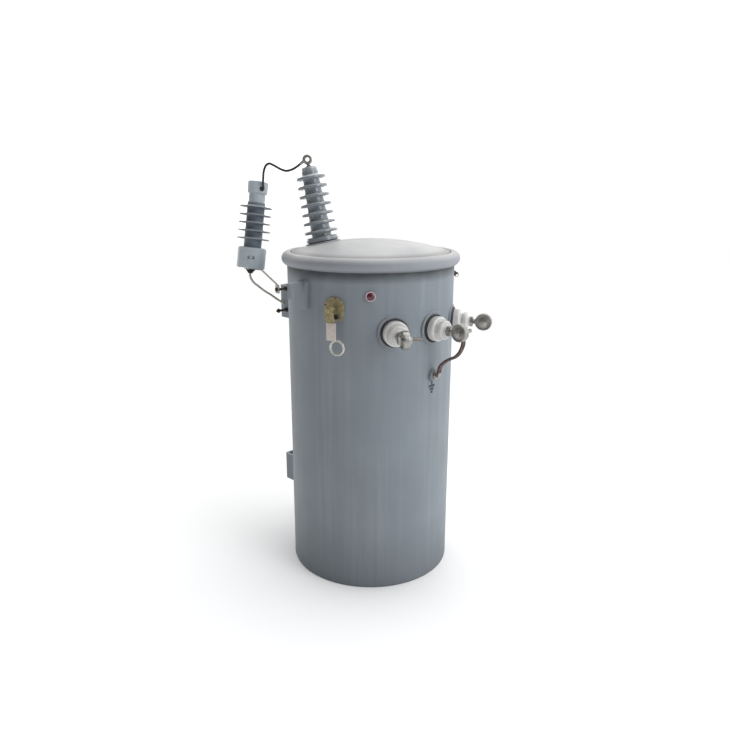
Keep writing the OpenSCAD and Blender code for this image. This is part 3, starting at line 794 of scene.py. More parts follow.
# Moulded thermoset of the arrester's base and cap
THERMOSET = Finish("moulded_thermoset", "#A6B0B7", "#ADB6BC", 26.0, (0.36, 0.48), 1.3, 0.03,
                   ior=1.5, dust_and_top_light=0.2)
# Hot-dip galvanised strip: dull zinc with its crystal patches
GALVANISED = Finish("hot_dip_galvanised", "#CFCBC2", "#BDB9B0", 5.0, (0.38, 0.55), 1.4, 0.03, metallic=0.2)
# Insulated line lead: black sheath with a low shine
BLACK_SHEATH = Finish("black_sheath", "#18191B", "#222326", 20.0, (0.35, 0.48), 1.2, 0.03, ior=1.5)
# Arrester's earth lead: pale sheath gone beige in the sun
PALE_SHEATH = Finish("weathered_pale_sheath", "#C2BDB0", "#B3AEA1", 16.0, (0.45, 0.6), 1.2, 0.03, ior=1.5)
# Cast bronze of the breaker: olive oxide over a yellow metal
AGED_BRONZE = Finish("aged_cast_bronze", "#A89C78", "#857B5C", 9.0, (0.40, 0.58), 0.9, 0.07, metallic=0.6,
                     fleck="#5F5840", fleck_mm=4.0, fleck_share=0.5)
# Pale stamped tab of the handle: zinc plate gone dull and pinkish
DULL_ZINC = Brushed("dull_zinc_plate", "#C9BFB9", "#BDB3AD", 8.0, (0.42, 0.55), 0.6, 0.02, metallic=0.35)
# Bright drawn wire of the handle's eye
DRAWN_WIRE = Finish("bright_drawn_wire", "#CFCDC7", "#B7B4AD", 6.0, (0.24, 0.36), 0.7, 0.02, metallic=0.8)
# Signal light: pale pinkish moulded ring around a deep red lens
PALE_NYLON = Finish("moulded_pale_nylon", "#D2B9C0", "#C7ACB4", 5.0, (0.34, 0.46), 0.7, 0.02, ior=1.53)
RED_LENS = Finish("red_acrylic_lens", "#5A1220", "#45101B", 4.0, (0.08, 0.14), 2.0, 0.02, ior=1.49, coat=0.6,
                  coat_roughness=0.05)
# Braided earthing strap in a dark red-brown sleeve; its near-black second shade is painted shade in the
# weave's gaps
DARK_BRAID = Braid("dark_sleeved_braid", "#57403C", "#231A1A", 8.0, (0.5, 0.65), 1.0, 0.5, ior=1.5)
# Vinyl earth mark
BLUE_VINYL = Finish("dark_blue_vinyl", "#26303E", "#2D3846", 8.0, (0.35, 0.45), 1.0, 0.01, ior=1.5)
# Blank rating plate of the arrester: brushed aluminium
PLATE_METAL = Brushed("brushed_plate", "#7F888D", "#70797F", 8.0, (0.3, 0.42), 0.5, 0.02, metallic=0.7)


# ---------------------------------------------------------------- placing pieces


@dataclass
class Yard:
    """Where finished pieces are put on the frame and reported."""

    frame: dict
    total: int = 0

    def put(
        self, name: str, form: Form, finish: Finish, stands_for: Iterable[str] = (),
        body: Body = Body.TANK, crease: float = 38.0,
    ) -> bpy.types.Object:
        """Makes a piece of a form and sets it on a body.

        Args:
            name: The piece's name.
            form: Its mesh, in millimetres.
            finish: Its finish.
            stands_for: CAD nodes that it stands for.
            body: The CAD body it rides on.
            crease: Edges sharper than this many degrees stay crisp.

        Returns:
            The piece.
        """
        mesh = form.mesh(name)
        mesh.polygons.foreach_set("use_smooth", [True] * len(mesh.polygons))
        mesh.set_sharp_from_angle(angle=math.radians(crease))
        mesh.materials.append(finish.material())
        piece = bpy.data.objects.new(name, mesh)
        bpy.context.scene.collection.objects.link(piece)
        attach(piece, body.value)
        nodes = tuple(stands_for)
        drift = 0.0
        if nodes:
            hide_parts(*nodes)
            drift = self.drift(piece, nodes)
        triangles = sum(len(p.vertices) - 2 for p in mesh.polygons)
        self.total += triangles
        LOG.info("%-26s %7d triangles, box within %.1f mm of %s",
                 name, triangles, drift, ", ".join(nodes) or "-")
        return piece

    def drift(self, piece: bpy.types.Object, nodes: Sequence[str]) -> float:
        """How far a piece's box is from the box of the nodes it stands for, in millimetres."""
        boxes = [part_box(n) for n in nodes]
        low = [min(b[0][k] for b in boxes) for k in range(3)]
        high = [max(b[1][k] for b in boxes) for k in range(3)]
        points = [v.co for v in piece.data.vertices]
        return max(
            max(abs(min(p[k] for p in points) - low[k]), abs(max(p[k] for p in points) - high[k]))
            for k in range(3)
        ) / METRE

    def dress(self, node: str, finish: Finish) -> None:
        """Gives a CAD node that stays in view its finish."""
        item = self.frame["nodes"][node]
        item.data.materials.clear()
        item.data.materials.append(finish.material())
        LOG.info("%-26s kept, %s", node, finish.name)


# ---------------------------------------------------------------- tank and cover


@dataclass
class Tank:
    """Rolled steel tank with its flange, seam, bosses and bottom."""

    radius: float = 250.0
    height: float = 954.0
    wall: float = 3.0
    flange_radius: float = 256.0
    flange_z: float = 950.8
    bulge: float = 0.35
    seam_azimuth: float = 118.0
    boss_radius: float = 48.0
    boss_height: float = 2.0
    bushing_azimuths: tuple[float, ...] = (-30.0, 0.0, 30.0)
    bushing_z: float = 783.0

    def wall_form(self) -> Form:
        """The wall: a rolled sheet that is never quite true, so its shine wavers."""
        rise = [2.0 + (self.flange_z - 6) * k / 90 for k in range(91)]
        outline = [(self.radius - 1.6, 0.0), (self.radius - 0.5, 0.5), *[(self.radius, z) for z in rise]]
        outline += [(self.flange_radius, self.flange_z), (self.flange_radius, self.height)]
        inner = self.radius - self.wall
        outline += [(inner, self.height), (inner, 0.0)]
        form = Form().lathe(outline, Matrix.Identity(4), 240, ring=True)
        for point in form.points:
            out = Vector((point.x, point.y))
            if inner + 1 < out.length < self.radius + 0.1:
                wave = noise.noise(Vector((point.x, point.y, point.z * 0.7)) / 150.0)
                fade = min(1.0, point.z / 60, (self.flange_z - point.z) / 60)
                shift = out.normalized() * (self.bulge * wave - self.bulge * 0.6) * max(fade, 0.0)
                point.x += shift.x
                point.y += shift.y
        return form

    def boss_form(self) -> Form:
        """Raised seats where the wall bushings are clamped."""
        form = Form()
        r, h = self.boss_radius, self.boss_height
        corners = [(0, -12, 0), (r, -12, 0), (r, h, 1.2), (0, h, 0)]
        for azimuth in self.bushing_azimuths:
            form.lathe(filleted(corners, closed=False), on_wall(azimuth, self.bushing_z), 96)
        return form

    def seam_form(self) -> Form:
        """The wall's upright seam, a long weld."""
        spoke = turn("Z", self.seam_azimuth) @ Vector((0, -self.radius + 0.9, 0))
        line = [spoke + Vector((0, 0, 9)), spoke + Vector((0, 0, self.flange_z - 8))]
        return Form().weld(line, 5.0, turn("Z", self.seam_azimuth) @ Vector((1, 0, 0)), 5.0)

    def build(self, yard: Yard) -> None:
        """Places the wall, the seats and the seam, and dresses the bottom and what is inside."""
        yard.put("tank_shell", self.wall_form(), TANK_ENAMEL, ["tank_wall"], crease=60)
        yard.put("bushing_seats", self.boss_form(), TANK_ENAMEL)
        yard.put("tank_seam", self.seam_form(), TANK_ENAMEL)
        yard.dress("tank_bottom", TANK_ENAMEL)
        yard.dress("core_and_coils", VARNISHED_CORE)


@dataclass
class Cover:
    """Domed cover with its rolled edge, clamp band and the band's closing bolt."""

    edge_radius: float = 236.7
    edge_z: float = 982.1
    dome_rise: float = 35.0
    sheet: float = 3.0
    flange_radius: float = 256.0
    underside_z: float = 960.0
    turn_up_z: float = 977.2
    band_centre: tuple[float, float] = (246.5, 964.0)
    band_radius: float = 19.5
    band_sheet: float = 3.0
    band_ends: tuple[float, float] = (112.0, -70.0)
    clamp_azimuth: float = 140.0
    clamp_gap: float = 12.0
    pad_radius: float = 53.0
    pad_height: float = 2.0

    @property
    def dome_radius(self) -> float:
        """Radius of the dome's sphere."""
        return (self.edge_radius**2 + self.dome_rise**2) / (2 * self.dome_rise)

    @property
    def dome_centre_z(self) -> float:
        """Height of the dome's centre."""
        return self.edge_z + self.dome_rise - self.dome_radius

    def cover_form(self) -> Form:
        """The pressed cover, with the flat pad that its bushing stands on."""
        span = math.degrees(math.asin(self.edge_radius / self.dome_radius))
        inner_span = span * (self.edge_radius - self.sheet) / self.edge_radius
        outside = arc(0, self.dome_centre_z, self.dome_radius, 90, 90 - span, 48)
        inside = arc(0, self.dome_centre_z, self.dome_radius - self.sheet, 90 - inner_span, 90, 24)
        outside[0], inside[-1] = (0.0, outside[0][1]), (0.0, inside[-1][1])
        low, rim = self.underside_z, self.flange_radius
        step = [(self.edge_radius, low + self.sheet), (rim - self.sheet, low + self.sheet),
                (rim - self.sheet, self.turn_up_z), (rim, self.turn_up_z), (rim, low),
                (self.edge_radius - self.sheet, low)]
        form = Form().lathe(outside + step + inside, Matrix.Identity(4), 240)
        r, h = self.pad_radius, self.pad_height
        low = -self.sheet + 0.5
        pad = filleted([(0, low, 0), (r, low, 0), (r, h, 1.4), (0, h, 0)], closed=False)
        return form.lathe(pad, CoverBushing().axis(), 96)

    def band_form(self) -> Form:
        """The rolled band: a C-section that stops short of its closing bolt."""
        r, z = self.band_centre
        start, end = self.band_ends
        outer = arc(r, z, self.band_radius, start, end, 34)
        inner = arc(r, z, self.band_radius - self.band_sheet, end, start, 30)
        tips = [math.radians(a) for a in (end, start)]
        lips = [
            (r + (self.band_radius - self.band_sheet / 2) * math.cos(a) + math.sin(a) * s * 1.1,
             z + (self.band_radius - self.band_sheet / 2) * math.sin(a) - math.cos(a) * s * 1.1)
            for a, s in zip(tips, (1, -1))
        ]
        outline = [*outer, lips[0], *inner, lips[1]]
        gap = math.degrees(self.clamp_gap / 2 / (r + self.band_radius))
        steps = 300
        rings = []
        for k in range(steps + 1):
            azimuth = self.clamp_azimuth + gap + (360 - 2 * gap) * k / steps
            spin = turn("Z", azimuth)
            rings.append([spin @ Vector((0, -x, y)) for x, y in outline])
        return Form().skin(rings)

    def clamp_form(self) -> tuple[Form, Form]:
        """The band's two ears, and the bolt that draws them together."""
        r, z = self.band_centre
        hug = arc(r, z, self.band_radius - 0.6, 36, -34, 10)
        ear = [*hug, (284.0, z - 9), (290.0, z - 4), (290.0, z + 8), (284.0, z + 13)]
        ears, bolt = Form(), Form()
        upright = turn("Z", self.clamp_azimuth) @ turn("Z", -90) @ turn("X", 90)
        for low in (-self.clamp_gap / 2 - 5, self.clamp_gap / 2):
            ears.prism(ear, low, low + 5, upright, 0.9)
        across = turn("Z", self.clamp_azimuth) @ move(0, -278.8, z + 2) @ turn("Y", 90)
        bolt.thread(across @ move(0, 0, -30), 61, 9, 1.5)
        bolt.hexagon(across @ move(0, 0, -24) , 15.5, 7)
        bolt.hexagon(across @ move(0, 0, 17), 15.5, 7)
        for low in (-17.0, 15.0):
            bolt.washer(across @ move(0, 0, low), 19, 2)
        for low, high in ((-15.0, -11.0), (11.0, 15.0)):
            bolt.lathe([(0, low), (6.5, low), (6.5, high), (0, high)], across, 40)
        return ears, bolt

    def build(self, yard: Yard) -> None:
        """Places the cover, the band and its bolt, and dresses the gasket."""
        yard.put("domed_cover", self.cover_form(), DOME_ENAMEL, ["cover"], crease=50)
        yard.put("clamp_band", self.band_form(), COVER_ENAMEL, ["cover_band"], crease=60)
        ears, bolt = self.clamp_form()
        yard.put("band_ears", ears, COVER_ENAMEL, ["band_clamp"])
        yard.put("band_bolt", bolt, GALVANISED)
        yard.dress("cover_gasket", NITRILE)


@dataclass
class LiftingHook:
    """A welded plate with a bent bar that holds a sling."""

    azimuth: float
    node: str
    top_z: float = 914.0
    plate_width: float = 40.0
    plate_height: float = 78.0
    plate_out: float = 9.0
    bar_width: float = 15.0
    reach: float = 52.0
    arm: float = 11.0
    leg: float = 8.0
    drop: float = 47.0

    def build(self, yard: Yard) -> None:
        """Places the hook and the weld round its plate."""
        place = on_wall(self.azimuth, self.top_z)
        w, h = self.plate_width / 2, self.plate_height
        form = Form()
        plate = filleted([(-w, 0, 4), (-w, -h, 7), (w, -h, 7), (w, 0, 4)])
        form.prism(plate, -6, self.plate_out, place, 1.4)
        bar = filleted([
            (0, 0, 0), (self.reach, 0, 9), (self.reach, -self.drop, 3),
            (self.reach - self.leg, -self.drop, 3),
            (self.reach - self.leg, -self.arm, 5), (0, -self.arm, 0),
        ])
        side = place @ Matrix(((0, 0, 1, 0), (0, 1, 0, 0), (1, 0, 0, 0), (0, 0, 0, 1)))
        form.prism(bar, -self.bar_width / 2, self.bar_width / 2, side, 1.6)
        yard.put(self.node + "_bar", form, TANK_ENAMEL, [self.node])
        ring = [self.on_skin(x, y) for x, y in plate]
        weld = Form().weld([*ring, ring[0]], 4.4, Vector((0, 0, 1)), 4.0)
        foot = [place @ Vector((x, y, self.plate_out)) for x, y in
                ((-self.bar_width / 2, -self.arm), (self.bar_width / 2, -self.arm))]
        weld.weld(foot, 3.6, Vector((0, 0, 1)), 3.6)
        yard.put(self.node + "_weld", weld, TANK_ENAMEL)

    def on_skin(self, x: float, y: float) -> Vector:
        """A point of the plate's outline, laid on the round wall."""
        depth = math.sqrt(250.0**2 - x * x)
        return turn("Z", self.azimuth) @ Vector((x, -depth, self.top_z + y))


@dataclass
class PoleHanger:
    """A bent channel, slotted for the pole bolt and welded to the tank."""

    node: str
    z: float
    height: float
    width: float = 164.0
    face_y: float = 345.0
    plate: float = 8.0
    slot_width: float = 20.6
    slot_length: float = 44.0
    tank_radius: float = 250.0

    def build(self, yard: Yard) -> None:
        """Places the channel and its welds."""
        w, t, y = self.width / 2, self.plate, self.face_y
        outline = filleted([
            (-w, 200, 0), (-w, y, 9), (w, y, 9), (w, 200, 0), (w - t, 200, 0), (w - t, y - t, 3),
            (-w + t, y - t, 3), (-w + t, 200, 0),
        ])
        half = self.height / 2
        channel = Form().prism(outline, self.z - half, self.z + half, Matrix.Identity(4), 1.2)
        r, straight = self.slot_width / 2, (self.slot_length - self.slot_width) / 2
        hole = arc(0, straight, r, 0, 180, 18) + arc(0, -straight, r, 180, 360, 18)
        pole = move(0, y + 10, self.z) @ turn("X", 90)
        cutter = Form().prism(hole, 0, 40, pole, 0.01)
        channel = channel.carved(cutter, 0.8)
        drum = Form().lathe(
            [(0, self.z - 120), (self.tank_radius - 0.4, self.z - 120),
             (self.tank_radius - 0.4, self.z + 120),
             (0, self.z + 120)], Matrix.Identity(4), 240)
        channel = channel.carved(drum)
        yard.put(self.node + "_channel", channel, TANK_ENAMEL, [self.node], crease=30)
        weld = Form()
        for side in (-1, 1):
            for x, width in ((w, 6.0), (w - t, 5.0)):
                depth = math.sqrt(self.tank_radius**2 - x * x)
                line = [Vector((side * x, depth, self.z + s * (self.height / 2 - 2))) for s in (-1, 1)]
                weld.weld(line, width, Vector((1, 0, 0)), 4.5)
        yard.put(self.node + "_weld", weld, TANK_ENAMEL)


@dataclass
class SideBolts:
    """Two threaded bolts on the upper hanger's leg; the upper one carries the arrester's bracket."""

    x: float = -82.0
    y: float = 310.0
    z: float = 809.0
    spacing: float = 70.0
    reach: float = 42.0
    diameter: float = 8.0
    bracket_x: float = 116.0

    def build(self, yard: Yard) -> None:
        """Places the bolts with their nuts and washers."""
        form = Form()
        for side in (-1, 1):
            place = move(self.x, self.y, self.z + side * self.spacing / 2) @ turn("Y", -90)
            form.thread(place, self.reach, self.diameter, 1.25)
            form.washer(place, 15, 1.4)
            form.hexagon(place @ move(0, 0, 1.4), 12.6, 5.4)
            if side > 0:
                inner = self.bracket_x + self.x
                form.hexagon(place @ move(0, 0, inner - 5.6), 12.6, 4.2)
                form.washer(place @ move(0, 0, inner - 1.4), 14.5, 1.4)
                form.hexagon(place @ move(0, 0, inner + 4), 12.6, self.reach - inner - 4.2)
            else:
                form.hexagon(place @ move(0, 0, 31), 12.6, 5.4)
        yard.put("side_bolt_set", form, BLACK_STEEL, ["side_bolts"])


# ---------------------------------------------------------------- cover bushing


def shed_outline(
    heights: Sequence[float], cores: Sequence[float], rims: Sequence[float], lip: float,
    low: tuple[float, float],
    high: tuple[float, float], root: float = 4.0,
) -> Outline:
    """Half the outline of a body with sheds.

    Args:
        heights: Height of each shed's upper rim edge.
        cores: Radius of the core at each shed.
        rims: Radius of each shed.
        lip: Thickness of a shed at its rim.
        low: Radius and height where the outline starts.
        high: Radius and height where it ends.
        root: Radius of the fillet between core and shed.

    Returns:
        Radius and height pairs from the axis to the axis.
    """
    corners: list[Corner] = [(0, low[1], 0), (*low, 0.8)]
    for s, core, rim in zip(heights, cores, rims):
        corners += [
            (core, s - lip * 0.85, root), (rim - lip * 0.8, s - lip * 0.85, lip * 0.2),
            (rim - lip * 0.6, s - lip, lip * 0.15), (rim, s - lip, lip * 0.46), (rim, s - 0.2, lip * 0.46),
            (core + root, s + 1.0, 6), (core, s + 4.0, root),
        ]
    corners += [(*high, 0.8), (0, high[1], 0)]
    return filleted(corners, closed=False, step=15)


@dataclass
class CoverBushing:
    """The tall porcelain bushing that leans outwards on the cover."""

    offset: float = 150.0
    azimuth: float = -150.0
    dome_radius: float = 817.9
    dome_centre_z: float = 199.2
    gasket_s: float = 2.0
    flange_s: float = 5.0
    flange_radius: float = 49.0
    flange_height: float = 14.0
    low_s: float = 19.0
    sheds: int = 7
    first_shed: float = 19.0
    pitch: float = 26.6
    core: tuple[float, float] = (30.0, 25.0)
    rim: tuple[float, float] = (50.5, 44.0)
    top_s: float = 213.1
    cap_radius: float = 23.0
    cap_height: float = 11.0
    stem_radius: float = 5.5
    stem_height: float = 8.0
    eye_radius: float = 15.0
    eye_hole: float = 6.0
    eye_thickness: float = 12.0
    eye_turn: float = 105.0

    def axis(self) -> Matrix:
        """The bushing's own frame, Z along it from the dome's surface."""
        tilt = math.degrees(math.asin(self.offset / self.dome_radius))
        return turn("Z", self.azimuth) @ move(0, 0, self.dome_centre_z) @ turn("X", tilt) @ move(
            0, 0, self.dome_radius)

    @property
    def eye_s(self) -> float:
        """Distance of the eye's middle along the bushing."""
        return self.top_s + self.cap_height + self.stem_height + self.eye_radius - 1

    def porcelain_form(self) -> Form:
        """The glazed body with its seven sheds."""
        last = self.sheds - 1
        heights = [self.low_s + self.first_shed + self.pitch * i for i in range(self.sheds)]
        cores = [self.core[0] + (self.core[1] - self.core[0]) * i / last for i in range(self.sheds)]
        rims = [self.rim[0] + (self.rim[1] - self.rim[0]) * i / last for i in range(self.sheds)]
        outline = shed_outline(heights, cores, rims, 9.0,
                               (self.core[0], self.low_s), (self.core[1], self.top_s))
        return Form().lathe(outline, self.axis(), 112)

    def flange_form(self) -> Form:
        """The flange: a broad ring with a smaller one on it."""
        r, s, h = self.flange_radius, self.flange_s, self.flange_height
        corners = [(0, s, 0), (r, s, 1.2), (r, s + h * 0.6, 2.0), (r - 3, s + h * 0.6, 0.6),
                   (r - 3, s + h, 1.6),
                   (0, s + h, 0)]
        return Form().lathe(filleted(corners, closed=False), self.axis(), 112)

    def cap_form(self) -> Form:
        """The crimped metal cap."""
        r, s, h = self.cap_radius, self.top_s, self.cap_height
        corners = [(0, s, 0), (r - 1, s, 0.8), (r - 1, s + 2, 0.5), (r, s + 3, 0.8), (r, s + h * 0.75, 1.6),
                   (r - 3, s + h * 0.75, 0.5), (r - 3, s + h, 1.8), (0, s + h, 0)]
        return Form().lathe(filleted(corners, closed=False), self.axis(), 80)

    def terminal_form(self) -> Form:
        """The stem with its nut, and the eye."""
        axis = self.axis() @ turn("Z", self.eye_turn)
        base = self.top_s + self.cap_height
        form = Form().thread(axis @ move(0, 0, base - 1), self.stem_height + 3, self.stem_radius * 2, 1.5)
        form.hexagon(axis @ move(0, 0, base), 17, 3.6)
        r, hole, half = self.eye_radius, self.eye_hole, self.eye_thickness / 2
        ring = filleted([(hole, -half, 1.0), (r - 3, -half, 2), (r, -half + 2.6, 2), (r, half - 2.6, 2),
                         (r - 3, half, 2), (hole, half, 1.0)], step=15)
        form.lathe(ring, axis @ move(0, 0, self.eye_s) @ turn("X", 90), 72, ring=True)
        return form

    def build(self, yard: Yard) -> None:
        """Places the bushing from the gasket up."""
        r = self.flange_radius - 4
        gasket = filleted([(0, self.gasket_s, 0), (r, self.gasket_s, 1.2), (r, self.flange_s, 1.2),
                           (0, self.flange_s, 0)], closed=False)
        yard.put("cover_bushing_gasket", Form().lathe(gasket, self.axis()), NITRILE,
                 ["hv_gasket"])
        yard.put("cover_bushing_flange", self.flange_form(), GREY_GLAZE, ["hv_flange"])
        yard.put("cover_bushing_body", self.porcelain_form(), GREY_GLAZE, ["hv_bushing"])
        yard.put("cover_bushing_cap", self.cap_form(), CAST_ALUMINIUM, ["hv_cap"])
        yard.put("cover_bushing_eye", self.terminal_form(), TINNED_BRONZE, ["hv_terminal"])


# ---------------------------------------------------------------- surge arrester


@dataclass
class Arrester:
    """The surge arrester, leaning towards the tank on its bracket."""

    x: float = -219.0
    y: float = 310.0
    z: float = 922.0
    lean: float = 9.4
    base_radius: float = 43.0
    base_height: float = 64.0
    core: float = 27.0
    sheds: int = 5
    first_shed: float = 28.0
    pitch: float = 24.0
    rim: float = 49.0
    neck_s: float = 200.0
    cap_s: float = 227.0
    cap_height: float = 36.0
    cap_radii: tuple[float, float] = (30.0, 31.5)
    bracket_thickness: float = 4.0
    bracket_width: float = 18.0
    bar_width: float = 8.0
    foot_x: float = -116.0
    disconnector_height: float = 12.0

    def axis(self) -> Matrix:
        """The arrester's own frame, Z along it from its lower face."""
        return move(self.x, self.y, self.z) @ turn("Y", self.lean)

    def base_form(self) -> Form:
        """The moulded base: a chamfered foot and a round shoulder."""
        r, h = self.base_radius, self.base_height
        corners = [(0, 0, 0), (r, 0, 2.5), (r, h, 8), (self.core + 3, h, 0), (0, h, 0)]
        return Form().lathe(filleted(corners, closed=False), self.axis(), 96)

    def plate_form(self) -> Form:
        """The blank plate on the base, bent to its round side."""
        radius = self.base_radius + 0.2
        outline = filleted([(-11, -5, 4.8), (11, -5, 4.8), (11, 5, 4.8), (-11, 5, 4.8)], step=9)
        rings = []
        for inset, out in ((0.0, -0.8), (0.0, 0.3), (0.4, 0.6), (1.0, 0.6), (1.3, 0.4)):
            rings.append([
                self.axis() @ turn("Z", -38) @ turn("Z", math.degrees(x / radius))
                @ Vector((0, -radius - out, 33 + y)) for x, y in shrunk(outline, inset)
            ])
        return Form().skin(rings)

    def housing_form(self) -> Form:
        """The ribbed housing with its thin sheds."""
        heights = [self.base_height + self.first_shed + self.pitch * i for i in range(self.sheds)]
        outline = shed_outline(heights, [self.core] * self.sheds, [self.rim] * self.sheds, 3.4,
                               (self.core, self.base_height), (self.core, self.neck_s), 2.0)
        return Form().lathe(outline, self.axis(), 96)

    def cap_form(self) -> Form:
        """The neck and the tapered cap."""
        low, high = self.cap_radii
        s, h = self.cap_s, self.cap_height
        corners = [(0, self.neck_s, 0), (25, self.neck_s, 0.5), (25, s, 2.5), (low, s, 2.5),
                   (high, s + h, 4.0),
                   (0, s + h, 0)]
        return Form().lathe(filleted(corners, closed=False), self.axis(), 88)

    def disconnector_form(self) -> Form:
        """The black cone under the base."""
        h, t = self.disconnector_height, self.bracket_thickness
        corners: list[Corner] = [(0, -t - h, 0), (6, -t - h, 1)]
        for k in range(3):
            s = -t - h + 2.0 + 3.0 * k
            r = 7.2 + 2.4 * k
            corners += [(r, s, 0.5), (r + 1.4, s + 0.6, 0.5), (r + 1.4, s + 1.8, 0.5), (r, s + 2.4, 0.5)]
        corners += [(15, -t - 1.4, 0.6), (15, -t, 0.4), (0, -t, 0)]
        return Form().lathe(filleted(corners, closed=False), self.axis(), 72)

    def bracket_form(self) -> Form:
        """The bar: wide under the arrester, narrow where it slopes, wide again on the side bolt."""
        lean = math.radians(self.lean)
        seat = Vector((math.cos(lean), -math.sin(lean)))
        under = Vector((self.x, self.z))
        run = [under - 18 * seat, under + 42 * seat, Vector((self.foot_x, 860)), Vector((self.foot_x, 832))]
        form = Form()
        for start, end, width in zip(run, run[1:], (self.bracket_width, self.bar_width, self.bracket_width)):
            along = end - start
            place = move(start.x, self.y, start.y) @ turn("Y", -math.degrees(math.atan2(along.y, along.x)))
            form.block((0, -width / 2, -self.bracket_thickness), (along.length, width / 2, 0), place, 0.8)
        return form

    def build(self, yard: Yard) -> None:
        """Places the arrester from the bracket up."""
        yard.put("arrester_foot", self.base_form(), THERMOSET, ["arrester_base"])
        yard.put("arrester_plate", self.plate_form(), PLATE_METAL)
        yard.put("arrester_body", self.housing_form(), SILICONE, ["arrester_housing"])
        yard.put("arrester_top", self.cap_form(), THERMOSET, ["arrester_cap"])
        yard.put("arrester_cone", self.disconnector_form(), NITRILE, ["arrester_disconnector"])
        yard.put("arrester_bar", self.bracket_form(), GALVANISED, ["arrester_bracket"])


@dataclass
class Leads:
    """The line lead over the top, and the arrester's earth lead."""

    line_diameter: float = 7.0
    line_route: tuple = (
        (-186, 280, 1161), (-187, 272, 1164), (-188, 271, 1175), (-187, 270, 1192), (-186, 268, 1210),
        (-181, 264, 1227), (-173, 257, 1234), (-163, 248, 1229), (-150, 235, 1219), (-138, 221, 1213),
        (-126, 207, 1217), (-116, 194, 1226), (-110, 185, 1234), (-106, 179.5, 1239),
    )
    earth_diameter: float = 7.0
    earth_route: tuple = (
        (-221.7, 310, 905.8), (-222, 310, 897), (-217, 310, 886), (-207, 310, 874), (-194, 310, 864),
        (-168, 312, 845), (-139, 316, 828), (-114, 322, 812), (-94, 326, 801), (-84, 328, 797),
    )

    def build(self, yard: Yard) -> None:
        """Places both leads with the fittings at their ends."""
        line = curve_through(self.line_route)
        yard.put("line_lead", Form().cable(line, self.line_diameter, Vector((1, 1, 0))), BLACK_SHEATH,
                 ["hv_lead"])
        end, before = line[-1], line[-8]
        axis = (end - before).normalized()
        barrel = Matrix.Translation(before) @ axis.to_track_quat("Z", "Y").to_matrix().to_4x4()
        reach = (end - before).length + 3.0
        ferrule = [(0, 0, 0), (4.6, 0, 0.6), (4.6, reach * 0.45, 0.5), (4.1, reach * 0.5, 0.4),
                   (4.6, reach * 0.55, 0.5), (4.6, reach, 1.4), (0, reach, 0)]
        fittings = Form().lathe(filleted(ferrule, closed=False), barrel, 40)
        yard.put("line_lead_ferrule", fittings, TINNED_BRONZE)
        mouth = Matrix.Translation(line[2]) @ (line[4] - line[0]).to_track_quat("Z", "Y").to_matrix().to_4x4()
        collar = [(3.2, -3, 0.5), (7.5, -3, 0.8), (6.4, 3, 1.0), (4.6, 6, 0.6), (3.2, 6, 0.3)]
        grommet = Form().lathe(filleted(collar), mouth, 40, ring=True)
        yard.put("line_lead_grommet", grommet, NITRILE)
        earth = curve_through(self.earth_route)
        yard.put("arrester_earth_lead", Form().cable(earth, self.earth_diameter, Vector((0, 1, 0)), 16),
                 PALE_SHEATH, ["arrester_ground_lead"])
        lug = Form()
        place = move(-82, 328, 796) @ turn("Y", -90)
        tongue = filleted([(-7, -7, 6.5), (7, -7, 6.5), (7, 7, 6.5), (-7, 7, 6.5)])
        lug.prism(tongue, 0, 2, place, 0.5)
        lug.hexagon(place @ move(0, 0, 2), 12, 4.6, both=False)
        yard.put("arrester_earth_lug", lug, GALVANISED)


# ---------------------------------------------------------------- wall bushings


